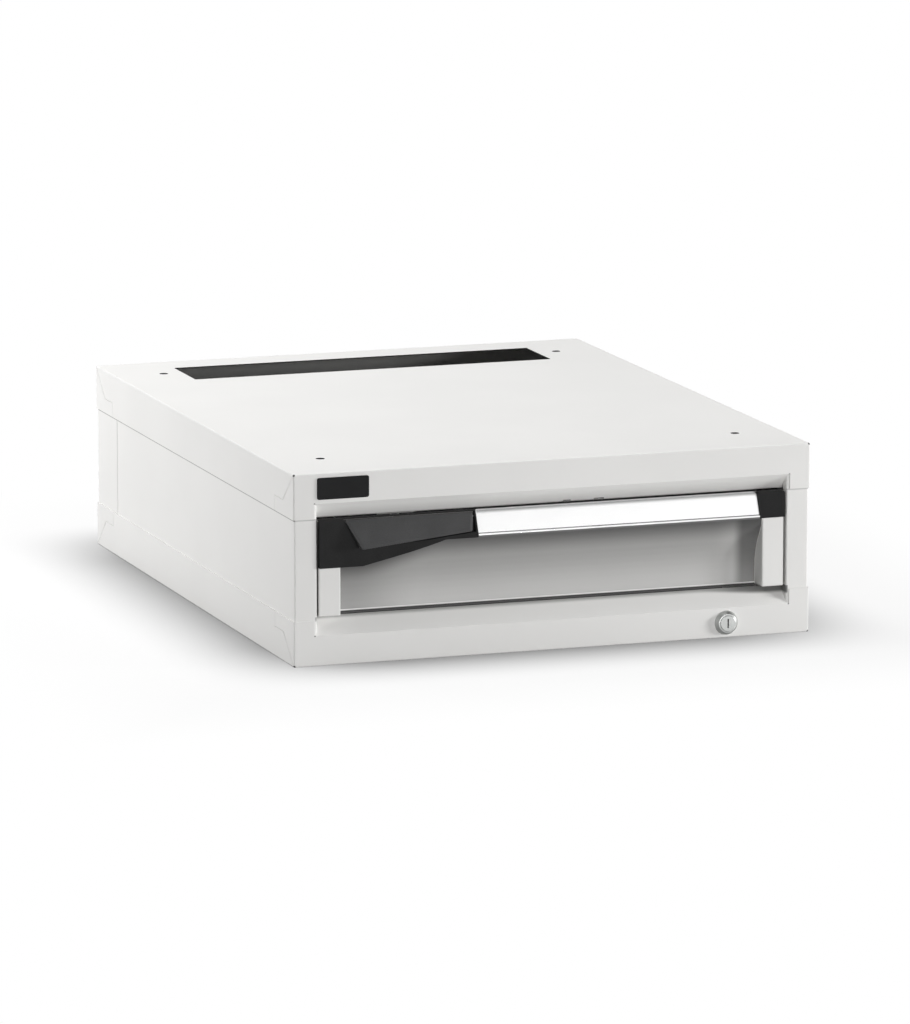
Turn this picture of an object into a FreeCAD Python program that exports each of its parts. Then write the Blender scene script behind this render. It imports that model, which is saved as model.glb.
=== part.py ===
"""A low steel drawer unit: a folded housing, one full extension drawer, its runners, latch and lock.

Everything is drawn from the housing's lower front left corner: x runs to the right, y runs back
and z runs up, in millimetres. Each finished piece is then placed so that the origin lies on the
floor, at the centre of the footprint.
"""
import FreeCAD, Part
import math
import os
import re
import Sketcher

SIZES = (
    # housing
    ("width", 564, "overall, side to side"),
    ("depth", 705, "overall, front face to back"),
    ("height", 200, "overall"),
    ("housing_sheet", 1.2, "sheet of the covers and panels"),
    ("lap", 0.1, "gap between a tray's flange and the panel that it covers"),
    ("flange_height", 47.3, "flanges of the top cover and the base tray"),
    ("rail_face", 31.5, "flat front face of each tray"),
    ("strip_run", 17.5, "how far the sloped strip goes back, and as far up or down"),
    ("strip_return", 12, "folded edge behind the strip"),
    ("strip_relief", 0.8, "notch at each end of the strip"),
    ("strip_notch_left", 297, "first notch in the upper strip, from the left side"),
    ("strip_notch", 8, "first notch in the upper strip, width"),
    ("strip_notch_step", 34, "first to second notch"),
    ("strip_notch_wide", 10.4, "second notch in the upper strip, width"),
    ("strip_notch_height", 1.8, "notches in the upper strip, height"),
    ("corner_width", 24.4, "front corner caps of the trays"),
    ("bend", 1.6, "outer bend radius of the trays"),
    ("seam", 0.5, "open butt seams"),
    ("ear_run", 34.4, "sloping stretch of a corner ear's seam"),
    ("ear_reach", 62.5, "whole reach of a corner ear"),
    ("wing", 75, "rear panel's side wings, from the back"),
    ("stile_width", 23.6, "front stiles of the side panels, from the side"),
    ("stile_return", 10, "folded edge behind a stile"),
    ("edge_flange", 11, "folded edges at the rear seam"),
    # top slot and bolt holes
    ("slot_length", 411, "slot in the top cover, across"),
    ("slot_width", 80, "slot in the top cover, front to back"),
    ("slot_rear", 43, "slot's rear edge, from the back"),
    ("slot_corner", 1.6, "corner radius of the slot"),
    ("bolt_pitch_x", 456, "bolt holes, across"),
    ("bolt_pitch_y", 550, "bolt holes, front to back"),
    ("bolt_front", 79.6, "front bolt holes, from the front face"),
    ("bolt_bore", 8.5, "bolt hole diameter"),
    # badge and lock
    ("badge_left", 26.5, "badge's left edge"),
    ("badge_drop", 5.2, "badge's top edge, below the top"),
    ("badge_width", 55, "badge"),
    ("badge_height", 22, "badge"),
    ("badge_plate", 1.4, "badge thickness"),
    ("badge_corner", 3, "badge corner radius"),
    ("lock_side", 92.2, "lock's axis, from the right side"),
    ("lock_ring", 25.5, "ring of the lock barrel at the face, diameter"),
    ("lock_ring_front", 19.6, "ring of the lock barrel at its front, diameter"),
    ("lock_ring_depth", 5.5, "ring, out from the face"),
    ("lock_shell", 19, "barrel diameter"),
    ("lock_hole_play", 0.2, "round the barrel in the base tray"),
    ("lock_length", 24.9, "barrel behind the face"),
    ("plug_head", 16.4, "face of the plug, diameter"),
    ("plug_head_depth", 3.4, "face of the plug, thickness"),
    ("plug_proud", 0.5, "face of the plug, out from the ring"),
    ("plug_body", 12, "plug diameter"),
    ("plug_play", 0.06, "round the plug in its bore"),
    ("plug_end_play", 0.1, "along the plug, at its head"),
    ("plug_tail", 8, "end of the plug that holds the cam, diameter"),
    ("key_slot", 1.3, "key slot, width"),
    ("key_slot_height", 9.5, "key slot, height"),
    ("key_slot_depth", 7, "key slot, depth"),
    ("lock_nut_flats", 26, "nut across flats"),
    ("lock_nut_depth", 4, "nut thickness"),
    ("cam_sheet", 2, "cam thickness"),
    ("cam_width", 15, "cam width"),
    ("cam_clear", 0.65, "raised cam's tip to the catch plate's leg"),
    ("cam_gap", 0.3, "behind the barrel, in front of the cam"),
    ("cam_screw", 5, "cam screw diameter"),
    ("cam_screw_head", 11, "cam screw head diameter"),
    ("cam_screw_depth", 2.6, "cam screw head thickness"),
    ("cam_screw_gap", 1, "cam screw's tip to the bottom of its hole"),
    # uprights and runners
    ("upright_face", 20, "inner face of the uprights, from the side"),
    ("upright_width", 40, "uprights, front to back"),
    ("upright_sheet", 2, "sheet of the uprights"),
    ("upright_front", 30, "front uprights, from the front face"),
    ("upright_rear", 105, "rear uprights, from the back"),
    ("upright_pitch", 25, "perforations of the uprights, pitch"),
    ("upright_slot", 12, "perforations of the uprights, height"),
    ("upright_slot_width", 6, "perforations of the uprights, width"),
    ("upright_ends", 15, "perforations of the uprights, from floor and top"),
    ("runner_rise", 36, "centre line of the runners above the tray's underside"),
    ("runner_space", 31.3, "uprights to tray"),
    ("rail_sheet", 1.8, "sheet of the runner channels"),
    ("rail_front", 26, "front ends of the channels, from the front face"),
    ("cabinet_rail_over", 11, "fixed channels, past the tray's back"),
    ("drawer_rail_short", 3, "channels on the drawer, short of the tray's back"),
    ("middle_front", 30, "front ends of the middle bars"),
    ("middle_over", 1, "middle bars, past the tray's back"),
    ("middle_bar", 4, "middle bar thickness"),
    ("middle_height", 26, "middle bar height"),
    ("rail_gap", 1.2, "between a channel's flanges and the middle bar"),
    ("roller_diameter", 26, "rollers"),
    ("roller_play", 0.3, "above and below a roller in its channel"),
    ("roller_width", 9.5, "rollers"),
    ("roller_stand", 1.1, "roller's inner face, from the middle bar"),
    ("roller_end", 15, "first roller's axis, from the bar's front end"),
    ("roller_tail", 20, "last roller's axis, from the bar's rear end"),
    ("roller_pair", 275, "between the two rollers of a channel"),
    ("roller_cup", 2, "recess in a roller for its stud's head"),
    ("stud_diameter", 8, "roller studs"),
    ("stud_play", 0.08, "round a stud in its roller"),
    ("stud_shoulder", 12, "shoulder and head of a stud, diameter"),
    ("stud_head", 1.6, "head of a stud, thickness"),
    ("stud_end_play", 0.1, "along a stud, at each side of its roller"),
    ("stud_tail", 6, "end of a stud in the middle bar, diameter"),
    ("buffer_length", 16, "rubber buffers in the fixed channels"),
    ("buffer_gap", 0.4, "last roller to its buffer, drawer shut"),
    # fasteners
    ("rivet_diameter", 3.2, "rivets"),
    ("rivet_head", 0.8, "rivet head thickness"),
    ("rivet_head_diameter", 6.2, "rivet heads"),
    ("rivet_edge", 0.4, "rivet heads to the edge of what they hold"),
    ("screw_diameter", 4, "screws of the handle and the caps"),
    ("cap_screw_low", 10, "lower screw of the latch housing, above its lower edge"),
    ("cap_screw_step", 20, "lower to upper screw of the latch housing"),
    ("screw_head", 2.4, "screw head thickness"),
    ("screw_head_diameter", 7, "screw heads"),
    ("hole_play", 0.1, "round a rivet or a screw in its hole"),
    # drawer front
    ("front_gap", 3.9, "stile to drawer front, each side"),
    ("front_inset", 3, "post faces behind the housing's front face"),
    ("front_clear", 1.4, "strips to drawer front, above and below"),
    ("front_sheet", 1.2, "sheet of the drawer front"),
    ("post_width", 24, "posts of the drawer front"),
    ("recess_depth", 20.4, "foot of the recess panel, behind the posts' faces"),
    ("recess_foot", 9, "upright foot of the recess panel"),
    ("recess_gap", 2.9, "recess, below the handle's lower edge"),
    ("foot_lip", 1.8, "hem at the foot of the recess panel"),
    ("front_flange", 12.5, "flanges that join the drawer front to the tray"),
    # drawer tray
    ("drawer_space", 66, "behind the tray, to the housing's back"),
    ("tray_sheet", 1.2, "sheet of the tray"),
    ("tray_lift", 5.6, "tray bottom above the drawer front's lower edge"),
    ("tray_drop", 5.6, "tray walls below the drawer front's upper edge"),
    ("slot_step", 17, "wall slots, pitch"),
    ("wall_slot", 2.4, "wall slots, width"),
    ("wall_slot_height", 56, "wall slots, height"),
    ("wall_slot_drop", 10, "wall slots, below the wall's top edge"),
    # handle
    ("grip_rise", 2.7, "handle's top edge above the drawer front"),
    ("grip_height", 27.4, "handle, top edge to lower edge"),
    ("grip_top_out", 2, "handle's top edge, out from the posts' faces"),
    ("grip_lean", 11, "handle's lower edge, further out than its top edge"),
    ("grip_chin", 1.3, "rounded lower edge of the handle"),
    ("grip_wall", 2.4, "sloping wall of the handle, front to back"),
    ("grip_back", 1.8, "back wall of the handle"),
    ("label_top", 2.6, "label recess, below the handle's top edge"),
    ("label_foot", 4.4, "label recess, above the handle's lower edge"),
    ("label_recess", 1.2, "label recess, front to back"),
    ("label_paper", 0.3, "label strip"),
    ("label_window", 0.7, "clear label cover"),
    ("label_end", 0.6, "label's ends, from the handle's ends"),
    # end caps, latch
    ("cap_out", 4, "face of the caps, out from the posts' faces"),
    ("latch_width", 168.9, "latch housing"),
    ("latch_height", 51.2, "latch housing over the left post"),
    ("latch_foot", 46.9, "level part of the latch housing's lower edge"),
    ("latch_ramp", 86.8, "sloping part of the latch housing's lower edge"),
    ("latch_rim", 3.6, "end of the latch housing beside the handle"),
    ("latch_band", 5.4, "latch housing under the lever, at the rim"),
    ("latch_band_left", 1.5, "latch housing under the lever, at the ramp"),
    ("latch_brow", 1.4, "latch housing above the lever"),
    ("end_cap_width", 31.5, "right end cap"),
    ("end_cap_rim", 2, "rim of the right end cap beside the handle"),
    ("end_cap_drop", 1.2, "right end cap below the handle's lower edge"),
    ("end_cap_round", 4, "outer upper corner of the right end cap"),
    ("lever_out", 1.1, "lever's face, out from the handle's slope"),
    ("lever_drop", 2.3, "lever's top edge, below the handle's top edge"),
    ("lever_left", 27.1, "lever's upper left corner, from the drawer front's end"),
    ("lever_left_foot", 42.6, "lever's lower left corner, from the drawer front's end"),
    ("lever_left_height", 29.7, "lever's left end"),
    ("lever_right_height", 18.7, "lever's right end"),
    ("lever_right_in", 3.6, "lever's lower right corner, in from its upper one"),
    ("lever_gap", 0.6, "lever to the latch housing"),
    ("lever_wall", 2.6, "lever walls, front to back"),
    ("lever_heel", 2.4, "lever's lower edge, out from the latch housing's face"),
    ("pivot_in", 1, "latch pin's axis, behind the middle of the cap's wall"),
    ("pivot_drop", 6.8, "latch pin's axis, below the handle's top edge"),
    ("pin_diameter", 2, "latch pin"),
    ("pin_play", 0.06, "round the latch pin in the lever"),
    ("pin_hold", 0.02, "round the latch pin in its lugs"),
    ("lever_barrel", 3.8, "lever's hinge barrel, diameter"),
    ("pivot_window", 3.9, "window for the lever, above and below the latch pin"),
    ("window_top", 2.4, "window for the lever, above the latch pin"),
    ("lug_length", 10, "latch housing's left lug"),
    ("lug_depth", 3, "latch housing's lugs behind the posts' faces"),
    ("lug_play", 0.2, "round the lugs in the drawer front"),
    ("window_room", 2, "window for the lever, behind the lugs"),
    ("pin_short", 1.8, "latch pin, short of its left lug's end"),
    ("pin_wall", 1.2, "latch pin, short of the latch housing's right end"),
    ("hook_side", 88, "hook's middle, from the drawer front's end"),
    ("hook_width", 6, "hook"),
    ("hook_height", 3.2, "hook's shank"),
    ("hook_nose", 3.9, "hook's nose above the latch pin"),
    ("hook_nose_depth", 4.1, "hook's nose, front to back"),
    ("hook_play", 0.05, "beside the hook in the lever"),
    ("hook_cheek", 3, "lever's cheeks beside the hook"),
    ("hook_grip", 7, "lever's cheeks behind the latch pin"),
    ("hook_rivet", 2.4, "hook rivet diameter"),
    ("hook_rivet_in", 2, "hook rivet, from the cheeks' ends"),
    ("spring_length", 8, "latch spring"),
    ("spring_gap", 0.4, "beside the latch spring"),
    ("strike_sheet", 1.2, "latch strike"),
    ("strike_width", 40, "latch strike"),
    ("strike_rivet_in", 8, "rivets of the strike, from its ends"),
    ("strike_clear", 0.5, "above the hook's nose, lever at rest"),
    ("strike_gap", 0.6, "strike to the hook's nose, front to back"),
    # lock catch
    ("catch_sheet", 1.6, "lock catch plate"),
    ("catch_width", 24, "lock catch plate"),
    ("catch_leg", 17, "leg of the catch plate under the tray"),
    ("catch_gap", 0.5, "cam to catch plate, front to back"),
    ("catch_drop", 0.4, "catch plate's lower edge above the drawer front's"),
)

ALIASES = re.compile(r"\b(" + "|".join(name for name, number, note in SIZES) + r")\b")
NUMBERS = {name: number for name, number, note in SIZES}

doc = FreeCAD.newDocument("DrawerUnit")
sheet = doc.addObject("Spreadsheet::Sheet", "Sizes")
for row, (alias, number, note) in enumerate(SIZES, start=1):
    sheet.set(f"A{row}", alias)
    sheet.set(f"B{row}", str(number))
    sheet.set(f"C{row}", note)
    sheet.setAlias(f"B{row}", alias)
doc.recompute()

nodes = []


# Helpers: every formula is text that names sizes from the sheet

def sized(formula):
    """The formula with each size's name turned into the sheet's cell."""
    return ALIASES.sub(r"Sizes.\1", str(formula))


def bind(thing, **formulas):
    """Ties properties of an object to formulas; x, y and z stand for its place."""
    places = {"x": "Placement.Base.x", "y": "Placement.Base.y", "z": "Placement.Base.z"}
    for name, formula in formulas.items():
        thing.setExpression(places.get(name, name), sized(formula))


def box(name, x, y, z):
    """A box between two formulas along each axis."""
    solid = doc.addObject("Part::Box", name)
    bind(solid, x=x[0], y=y[0], z=z[0])
    bind(solid, Length=f"({x[1]}) - ({x[0]})", Width=f"({y[1]}) - ({y[0]})", Height=f"({z[1]}) - ({z[0]})")
    return solid


TURNS = {
    "x": FreeCAD.Rotation(FreeCAD.Vector(0, 1, 0), 90),
    "y": FreeCAD.Rotation(FreeCAD.Vector(1, 0, 0), -90),
    "z": FreeCAD.Rotation(),
}


def rod(name, axis, start, end, diameter, **centre):
    """A cylinder along an axis, from start to end; centre gives the two other coordinates."""
    solid = doc.addObject("Part::Cylinder", name)
    solid.Placement.Rotation = TURNS[axis]
    bind(solid, **{axis: start}, **centre)
    bind(solid, Height=f"({end}) - ({start})", Radius=f"({diameter}) / 2")
    return solid


def prism(name, plane, corners, start, end):
    """A padded outline. In plane YZ it runs from start to end along x, in XZ along y, in XY along z."""
    body = doc.addObject("PartDesign::Body", name)
    outline = body.newObject("Sketcher::SketchObject", name + "_outline")
    base = next(item for item in body.Origin.OriginFeatures if item.Role == plane + "_Plane")
    outline.AttachmentSupport = [(base, "")]
    outline.MapMode = "FlatFace"
    count = len(corners)
    turn = 2 * math.pi / count
    first = [FreeCAD.Vector(math.cos(turn * i), math.sin(turn * i), 0) for i in range(count)]
    outline.addGeometry([Part.LineSegment(first[i], first[(i + 1) % count]) for i in range(count)], False)
    rules = [Sketcher.Constraint("Coincident", i, 2, (i + 1) % count, 1) for i in range(count)]
    for i, point in enumerate(first):
        rules.append(Sketcher.Constraint("DistanceX", -1, 1, i, 1, point.x))
        rules.append(Sketcher.Constraint("DistanceY", -1, 1, i, 1, point.y))
    outline.addConstraint(rules)
    for i, (across, up) in enumerate(corners):
        outline.setExpression(f"Constraints[{count + 2 * i}]", sized(across))
        outline.setExpression(f"Constraints[{count + 2 * i + 1}]", sized(up))
    offset = f"-({end})" if plane == "XZ" else start
    outline.setExpression("AttachmentOffset.Base.z", sized(offset))
    pad = body.newObject("PartDesign::Pad", name + "_pad")
    pad.Profile = outline
    pad.setExpression("Length", sized(f"({end}) - ({start})"))
    return body


def fuse(name, *parts):
    """One solid from several that touch or overlap."""
    whole = doc.addObject("Part::MultiFuse", name)
    whole.Shapes = list(parts)
    return whole


def group(name, *parts):
    """Several solids kept apart in one object."""
    whole = doc.addObject("Part::Compound", name)
    whole.Links = list(parts)
    return whole


def cut(name, base, *tools):
    """The base without its tools."""
    whole = doc.addObject("Part::Cut", name)
    whole.Base = base
    whole.Tool = tools[0] if len(tools) == 1 else fuse(name + "_tools", *tools)
    return whole


def common(name, *parts):
    """What the parts share."""
    whole = doc.addObject("Part::MultiCommon", name)
    whole.Shapes = list(parts)
    return whole


def rounded(name, base, radius, chosen):
    """The base with a fillet on each edge that chosen accepts."""
    doc.recompute()
    edges = [i for i, edge in enumerate(base.Shape.Edges, start=1) if chosen(edge)]
    whole = doc.addObject("Part::Fillet", name)
    whole.Base = base
    whole.Edges = [(i, radius, radius) for i in edges]
    return whole


def runs_along(edge, axis):
    """True for a straight edge along an axis."""
    first, last = edge.Vertexes[0].Point, edge.Vertexes[-1].Point
    step = last - first
    return all(abs(getattr(step, other)) < 1e-6 for other in "xyz" if other != axis)


def along_y(edge):
    """True for an edge from front to back."""
    return runs_along(edge, "y")


def along_z(edge):
    """True for an upright edge."""
    return runs_along(edge, "z")


def mirrored(name, source, normal, **base):
    """The source turned over in a plane with that normal."""
    whole = doc.addObject("Part::Mirroring", name)
    whole.Source = source
    whole.Normal = FreeCAD.Vector(*normal)
    for axis, formula in base.items():
        whole.setExpression(f"Base.{axis}", sized(formula))
    return whole


def node(label, thing):
    """A finished piece: its label names its file, and its placement centres it on the footprint."""
    thing.Label = label
    bind(thing, x="-width / 2", y="-depth / 2")
    nodes.append(thing)
    return thing


def right_node(label, source):
    """The right hand copy of a finished left hand piece."""
    thing = mirrored(label, source, (1, 0, 0))
    thing.Label = label
    nodes.append(thing)
    return thing


def rivet(name, axis, inner, outer, **centre):
    """A set rivet with a head at each end of its grip."""
    shank = rod(name + "_shank", axis, inner, outer, "rivet_diameter", **centre)
    heads = [
        rod(name + "_head", axis, f"({inner}) - rivet_head", inner, "rivet_head_diameter", **centre),
        rod(name + "_tail", axis, outer, f"({outer}) + rivet_head", "rivet_head_diameter", **centre),
    ]
    return fuse(name, shank, *heads)


def rivet_hole(name, axis, start, end, **centre):
    """A hole for a rivet, a little past both ends."""
    return rod(name, axis, f"({start}) - 1", f"({end}) + 1", "rivet_diameter + 2 * hole_play", **centre)


# Places that several pieces share

SKIN = "housing_sheet"
PANEL = "(housing_sheet + lap)"
STRIP_LOW = "(rail_face + strip_run)"
STRIP_TOP = f"(height - {STRIP_LOW})"
FRONT_LOW = f"({STRIP_LOW} + front_clear)"
FRONT_TOP = f"(height - {FRONT_LOW})"
FRONT_LEFT = "(stile_width + front_gap)"
FRONT_RIGHT = f"(width - {FRONT_LEFT})"
FACE = "front_inset"
FACE_BACK = "(front_inset + front_sheet)"
TRAY_FRONT = "(front_inset + recess_depth + front_sheet)"
TRAY_BACK = "(depth - drawer_space)"
TRAY_LEFT = "(upright_face + runner_space)"
TRAY_LOW = f"({FRONT_LOW} + tray_lift)"
TRAY_TOP = f"({FRONT_TOP} - tray_drop)"
RUNNER_Z = f"({TRAY_LOW} + runner_rise)"
GRIP_TOP = f"({FRONT_TOP} + grip_rise)"
GRIP_LOW = f"({GRIP_TOP} - grip_height)"
GRIP_LEFT = f"({FRONT_LEFT} + latch_width)"
GRIP_RIGHT = f"({FRONT_RIGHT} - end_cap_width)"
GRIP_TOP_Y = "(front_inset - grip_top_out)"
GRIP_SLOPE = "(grip_lean / (grip_height - grip_chin))"
CAP_FACE = "(front_inset - cap_out)"
PIVOT_Y = "(front_inset - cap_out / 2 + pivot_in)"
PIVOT_Z = f"({GRIP_TOP} - pivot_drop)"
PIN_AXIS = {"y": PIVOT_Y, "z": PIVOT_Z}
LOCK_X = "(width - lock_side)"
LOCK_Z = "(rail_face / 2)"
LOCK_AXIS = {"x": LOCK_X, "z": LOCK_Z}
CAM_FRONT = "(lock_length + cam_gap)"
CAM_BACK = f"({CAM_FRONT} + cam_sheet)"
FRONT_GRIP = (f"{TRAY_FRONT} - front_sheet", f"{TRAY_FRONT} + tray_sheet")
CATCH_GRIP = (f"{TRAY_LOW} - catch_sheet", f"{TRAY_LOW} + tray_sheet")
RAIL_GRIP = ("upright_face - upright_sheet", "upright_face + rail_sheet")
DRAWER_GRIP = (f"{TRAY_LEFT} - rail_sheet", f"{TRAY_LEFT} + tray_sheet")
CAM_REACH = f"({TRAY_LOW} - catch_sheet - cam_clear - {LOCK_Z})"
HOOK_X = f"({FRONT_LEFT} + hook_side)"
STRIKE_GRIP = (f"strip_run - {SKIN}", "strip_run + strike_sheet")


def grip_slope_y(below):
    """Where the handle's sloping face is, at a height below its top edge."""
    return f"({GRIP_TOP_Y} - {GRIP_SLOPE} * ({below}))"


# Trays: the top cover and the base tray are one folded form

def at_corner(edge):
    """True for the upright corner edges and the top edges of a tray's block."""
    return along_z(edge) or all(abs(point.Z - NUMBERS["height"]) < 1e-6 for point in edge.Vertexes)


tray_block = box("tray_block", ("0", "width"), ("0", "depth"), ("height - flange_height", "height"))
tray_round = rounded("tray_round", tray_block, NUMBERS["bend"], at_corner)
tray_inside = box(
    "tray_inside",
    (SKIN, f"width - {SKIN}"),
    (SKIN, f"depth - {SKIN}"),
    ("height - flange_height - 1", f"height - {SKIN}"),
)
tray_mouth = box(
    "tray_mouth",
    ("corner_width", "width - corner_width"),
    ("-1", f"{SKIN} + 1"),
    ("height - flange_height - 1", "height - rail_face"),
)


def ear_seams(name):
    """Open seams of the corner ears in the left flange, front and rear: sloped, level, upright."""
    half = "seam / 2"
    step = "height - rail_face"
    cuts = []
    for end, side in (("front", "({})"), ("rear", "depth - ({})")):
        corners = [
            (f"bend + {half}", "height - bend"),
            (f"ear_run + {half}", f"{step} + {half}"),
            (f"ear_reach + {half}", f"{step} + {half}"),
            (f"ear_reach + {half}", "height - flange_height - 1"),
            (f"ear_reach - {half}", "height - flange_height - 1"),
            (f"ear_reach - {half}", f"{step} - {half}"),
            (f"ear_run - {half}", f"{step} - {half}"),
            (f"bend - {half}", "height - bend"),
        ]
        turned = [(side.format(across), up) for across, up in corners]
        cuts.append(prism(f"{name}_{end}", "YZ", turned, "-1", SKIN))
    return cuts


left_seams = group("left_seams", *ear_seams("ear_seam"))
right_seams = mirrored("right_seams", left_seams, (1, 0, 0), x="width / 2")
strip = prism(
    "strip",
    "YZ",
    [
        ("0", "height - rail_face"),
        ("strip_run", STRIP_TOP),
        ("strip_run", f"{STRIP_TOP} + strip_return"),
        (f"strip_run - {SKIN}", f"{STRIP_TOP} + strip_return"),
        (f"strip_run - {SKIN}", f"{STRIP_TOP} + (1 + sqrt(2)) * {SKIN}"),
        (SKIN, f"height - rail_face + (sqrt(2) - 1) * {SKIN}"),
        (SKIN, f"height - rail_face + {SKIN}"),
        ("0", f"height - rail_face + {SKIN}"),
    ],
    "corner_width + strip_relief",
    "width - corner_width - strip_relief",
)
bolt_holes = []
for column in (-1, 1):
    for rank in (0, 1):
        bolt_holes.append(
            rod(
                "bolt_hole",
                "z",
                "height - 2 * bend",
                "height + 1",
                "bolt_bore",
                x=f"width / 2 + ({column}) * bolt_pitch_x / 2",
                y=f"bolt_front + {rank} * bolt_pitch_y",
            )
        )
tray_shell = cut("tray_shell", tray_round, tray_inside, tray_mouth)
tray_form = cut("tray_form", fuse("tray_folded", tray_shell, strip), left_seams, right_seams, *bolt_holes)
top_slot = rounded(
    "top_slot",
    box(
        "top_slot_block",
        ("width / 2 - slot_length / 2", "width / 2 + slot_length / 2"),
        ("depth - slot_rear - slot_width", "depth - slot_rear"),
        ("height - 2 * bend", "height + 1"),
    ),
    NUMBERS["slot_corner"],
    along_z,
)
notches = [
    box(
        "strip_notch",
        (start, end),
        (f"strip_run - 3 * {SKIN}", "strip_run + 1"),
        (f"{STRIP_TOP} - 1", f"{STRIP_TOP} + strip_notch_height"),
    )
    for start, end in (
        ("strip_notch_left", "strip_notch_left + strip_notch"),
        ("strip_notch_left + strip_notch_step", "strip_notch_left + strip_notch_step + strip_notch_wide"),
    )
]
strike_spots = [
    f"{HOOK_X} - strike_width / 2 + strike_rivet_in",
    f"{HOOK_X} + strike_width / 2 - strike_rivet_in",
]
STRIKE_RIVET_Z = f"({STRIP_TOP} + strip_return - rivet_head_diameter / 2 - rivet_edge)"
strike_holes = [
    rivet_hole("strike_hole", "y", *STRIKE_GRIP, x=spot, z=STRIKE_RIVET_Z)
    for spot in strike_spots
]
node("top_cover", cut("top_cover", tray_form, top_slot, *notches, *strike_holes))

base_form = mirrored("base_form", tray_form, (0, 0, 1), z="height / 2")
lock_hole = rod("lock_hole", "y", "-1", f"{SKIN} + 1", "lock_shell + 2 * lock_hole_play", **LOCK_AXIS)
node("base_tray", cut("base_tray", base_form, lock_hole))


# Side panels with stiles, rear panel with wings

SIDE_BACK = "(depth - wing - seam / 2)"
WING_FRONT = "(depth - wing + seam / 2)"
SEAM_GRIP = (f"{SIDE_BACK} - {SKIN}", f"{WING_FRONT} + {SKIN}")
INSIDE_UP = (SKIN, f"height - {SKIN}")
SEAM_RIVET_X = f"({PANEL} + ({SKIN} + edge_flange) / 2)"
seam_rivet_heights = ["height / 6", "height / 2", "height * 5 / 6"]

side_web = box("side_web", (PANEL, f"{PANEL} + {SKIN}"), (PANEL, SIDE_BACK), INSIDE_UP)
stile = box("stile", (PANEL, "stile_width"), (PANEL, f"{PANEL} + {SKIN}"), INSIDE_UP)
stile_edge = box(
    "stile_edge", (f"stile_width - {SKIN}", "stile_width"), (PANEL, f"{PANEL} + stile_return"), INSIDE_UP
)
side_flange = box(
    "side_flange", (PANEL, f"{PANEL} + edge_flange"), (f"{SIDE_BACK} - {SKIN}", SIDE_BACK), INSIDE_UP
)
seam_holes = [
    rivet_hole("seam_hole", "y", *SEAM_GRIP, x=SEAM_RIVET_X, z=spot)
    for spot in seam_rivet_heights
]
side_folded = fuse("side_folded", side_web, stile, stile_edge, side_flange)
side_panel = node("left_side_panel", cut("left_side_panel", side_folded, *seam_holes))
right_node("right_side_panel", side_panel)

REAR_FACE = f"(depth - {PANEL})"
rear_web = box("rear_web", (PANEL, f"width - {PANEL}"), (f"{REAR_FACE} - {SKIN}", REAR_FACE), INSIDE_UP)
wing = box("wing", (PANEL, f"{PANEL} + {SKIN}"), (WING_FRONT, REAR_FACE), INSIDE_UP)
wing_flange = box(
    "wing_flange", (PANEL, f"{PANEL} + edge_flange"), (WING_FRONT, f"{WING_FRONT} + {SKIN}"), INSIDE_UP
)
left_wing = cut("left_wing", fuse("wing_folded", wing, wing_flange), *seam_holes)
right_wing = mirrored("right_wing", left_wing, (1, 0, 0), x="width / 2")
node("rear_panel", fuse("rear_panel", rear_web, left_wing, right_wing))

seam_rivets_left = group(
    "seam_rivets_left",
    *[
        rivet("seam_rivet", "y", *SEAM_GRIP, x=SEAM_RIVET_X, z=spot)
        for spot in seam_rivet_heights
    ],
)
seam_rivets_right = mirrored("seam_rivets_right", seam_rivets_left, (1, 0, 0), x="width / 2")
node("seam_rivets", group("seam_rivets", seam_rivets_left, seam_rivets_right))


# Uprights: two hat shaped columns a side that carry the cabinet rails

UPRIGHT_BACK = f"({PANEL} + {SKIN})"
runner_stack = ("rail_face", "strip_run", "front_clear", "tray_lift", "runner_rise")
runner_up = sum(NUMBERS[name] for name in runner_stack)
steps_down = int((runner_up - NUMBERS["upright_ends"]) / NUMBERS["upright_pitch"])
steps_up = int((NUMBERS["height"] - runner_up - NUMBERS["upright_ends"]) / NUMBERS["upright_pitch"])
perforations = [step for step in range(-steps_down, steps_up + 1) if step != 0]
rail_rivet_spots = []
columns = []
for place in ("upright_front", "(depth - upright_rear - upright_width)"):
    block = box(
        "upright_block", (UPRIGHT_BACK, "upright_face"), (place, f"{place} + upright_width"), INSIDE_UP
    )
    hollow = box(
        "upright_hollow",
        (f"{UPRIGHT_BACK} - 1", "upright_face - upright_sheet"),
        (f"{place} + upright_sheet", f"{place} + upright_width - upright_sheet"),
        (f"{SKIN} - 1", "height"),
    )
    holes = []
    for step in perforations:
        middle = f"({RUNNER_Z} + ({step}) * upright_pitch)"
        holes.append(
            box(
                "upright_slot",
                ("upright_face - upright_sheet - 1", "upright_face + 1"),
                (
                    f"{place} + upright_width / 2 - upright_slot_width / 2",
                    f"{place} + upright_width / 2 + upright_slot_width / 2",
                ),
                (f"{middle} - upright_slot / 2", f"{middle} + upright_slot / 2"),
            )
        )
    for share in ("1 / 4", "3 / 4"):
        spot = f"{place} + upright_width * {share}"
        rail_rivet_spots.append(spot)
        holes.append(rivet_hole("upright_hole", "x", *RAIL_GRIP, y=spot, z=RUNNER_Z))
    columns.append(cut("upright_column", block, hollow, *holes))
uprights = node("left_uprights", group("left_uprights", *columns))
right_node("right_uprights", uprights)


# Runners: fixed channel, middle bar with rollers on both faces, channel on the drawer

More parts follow.
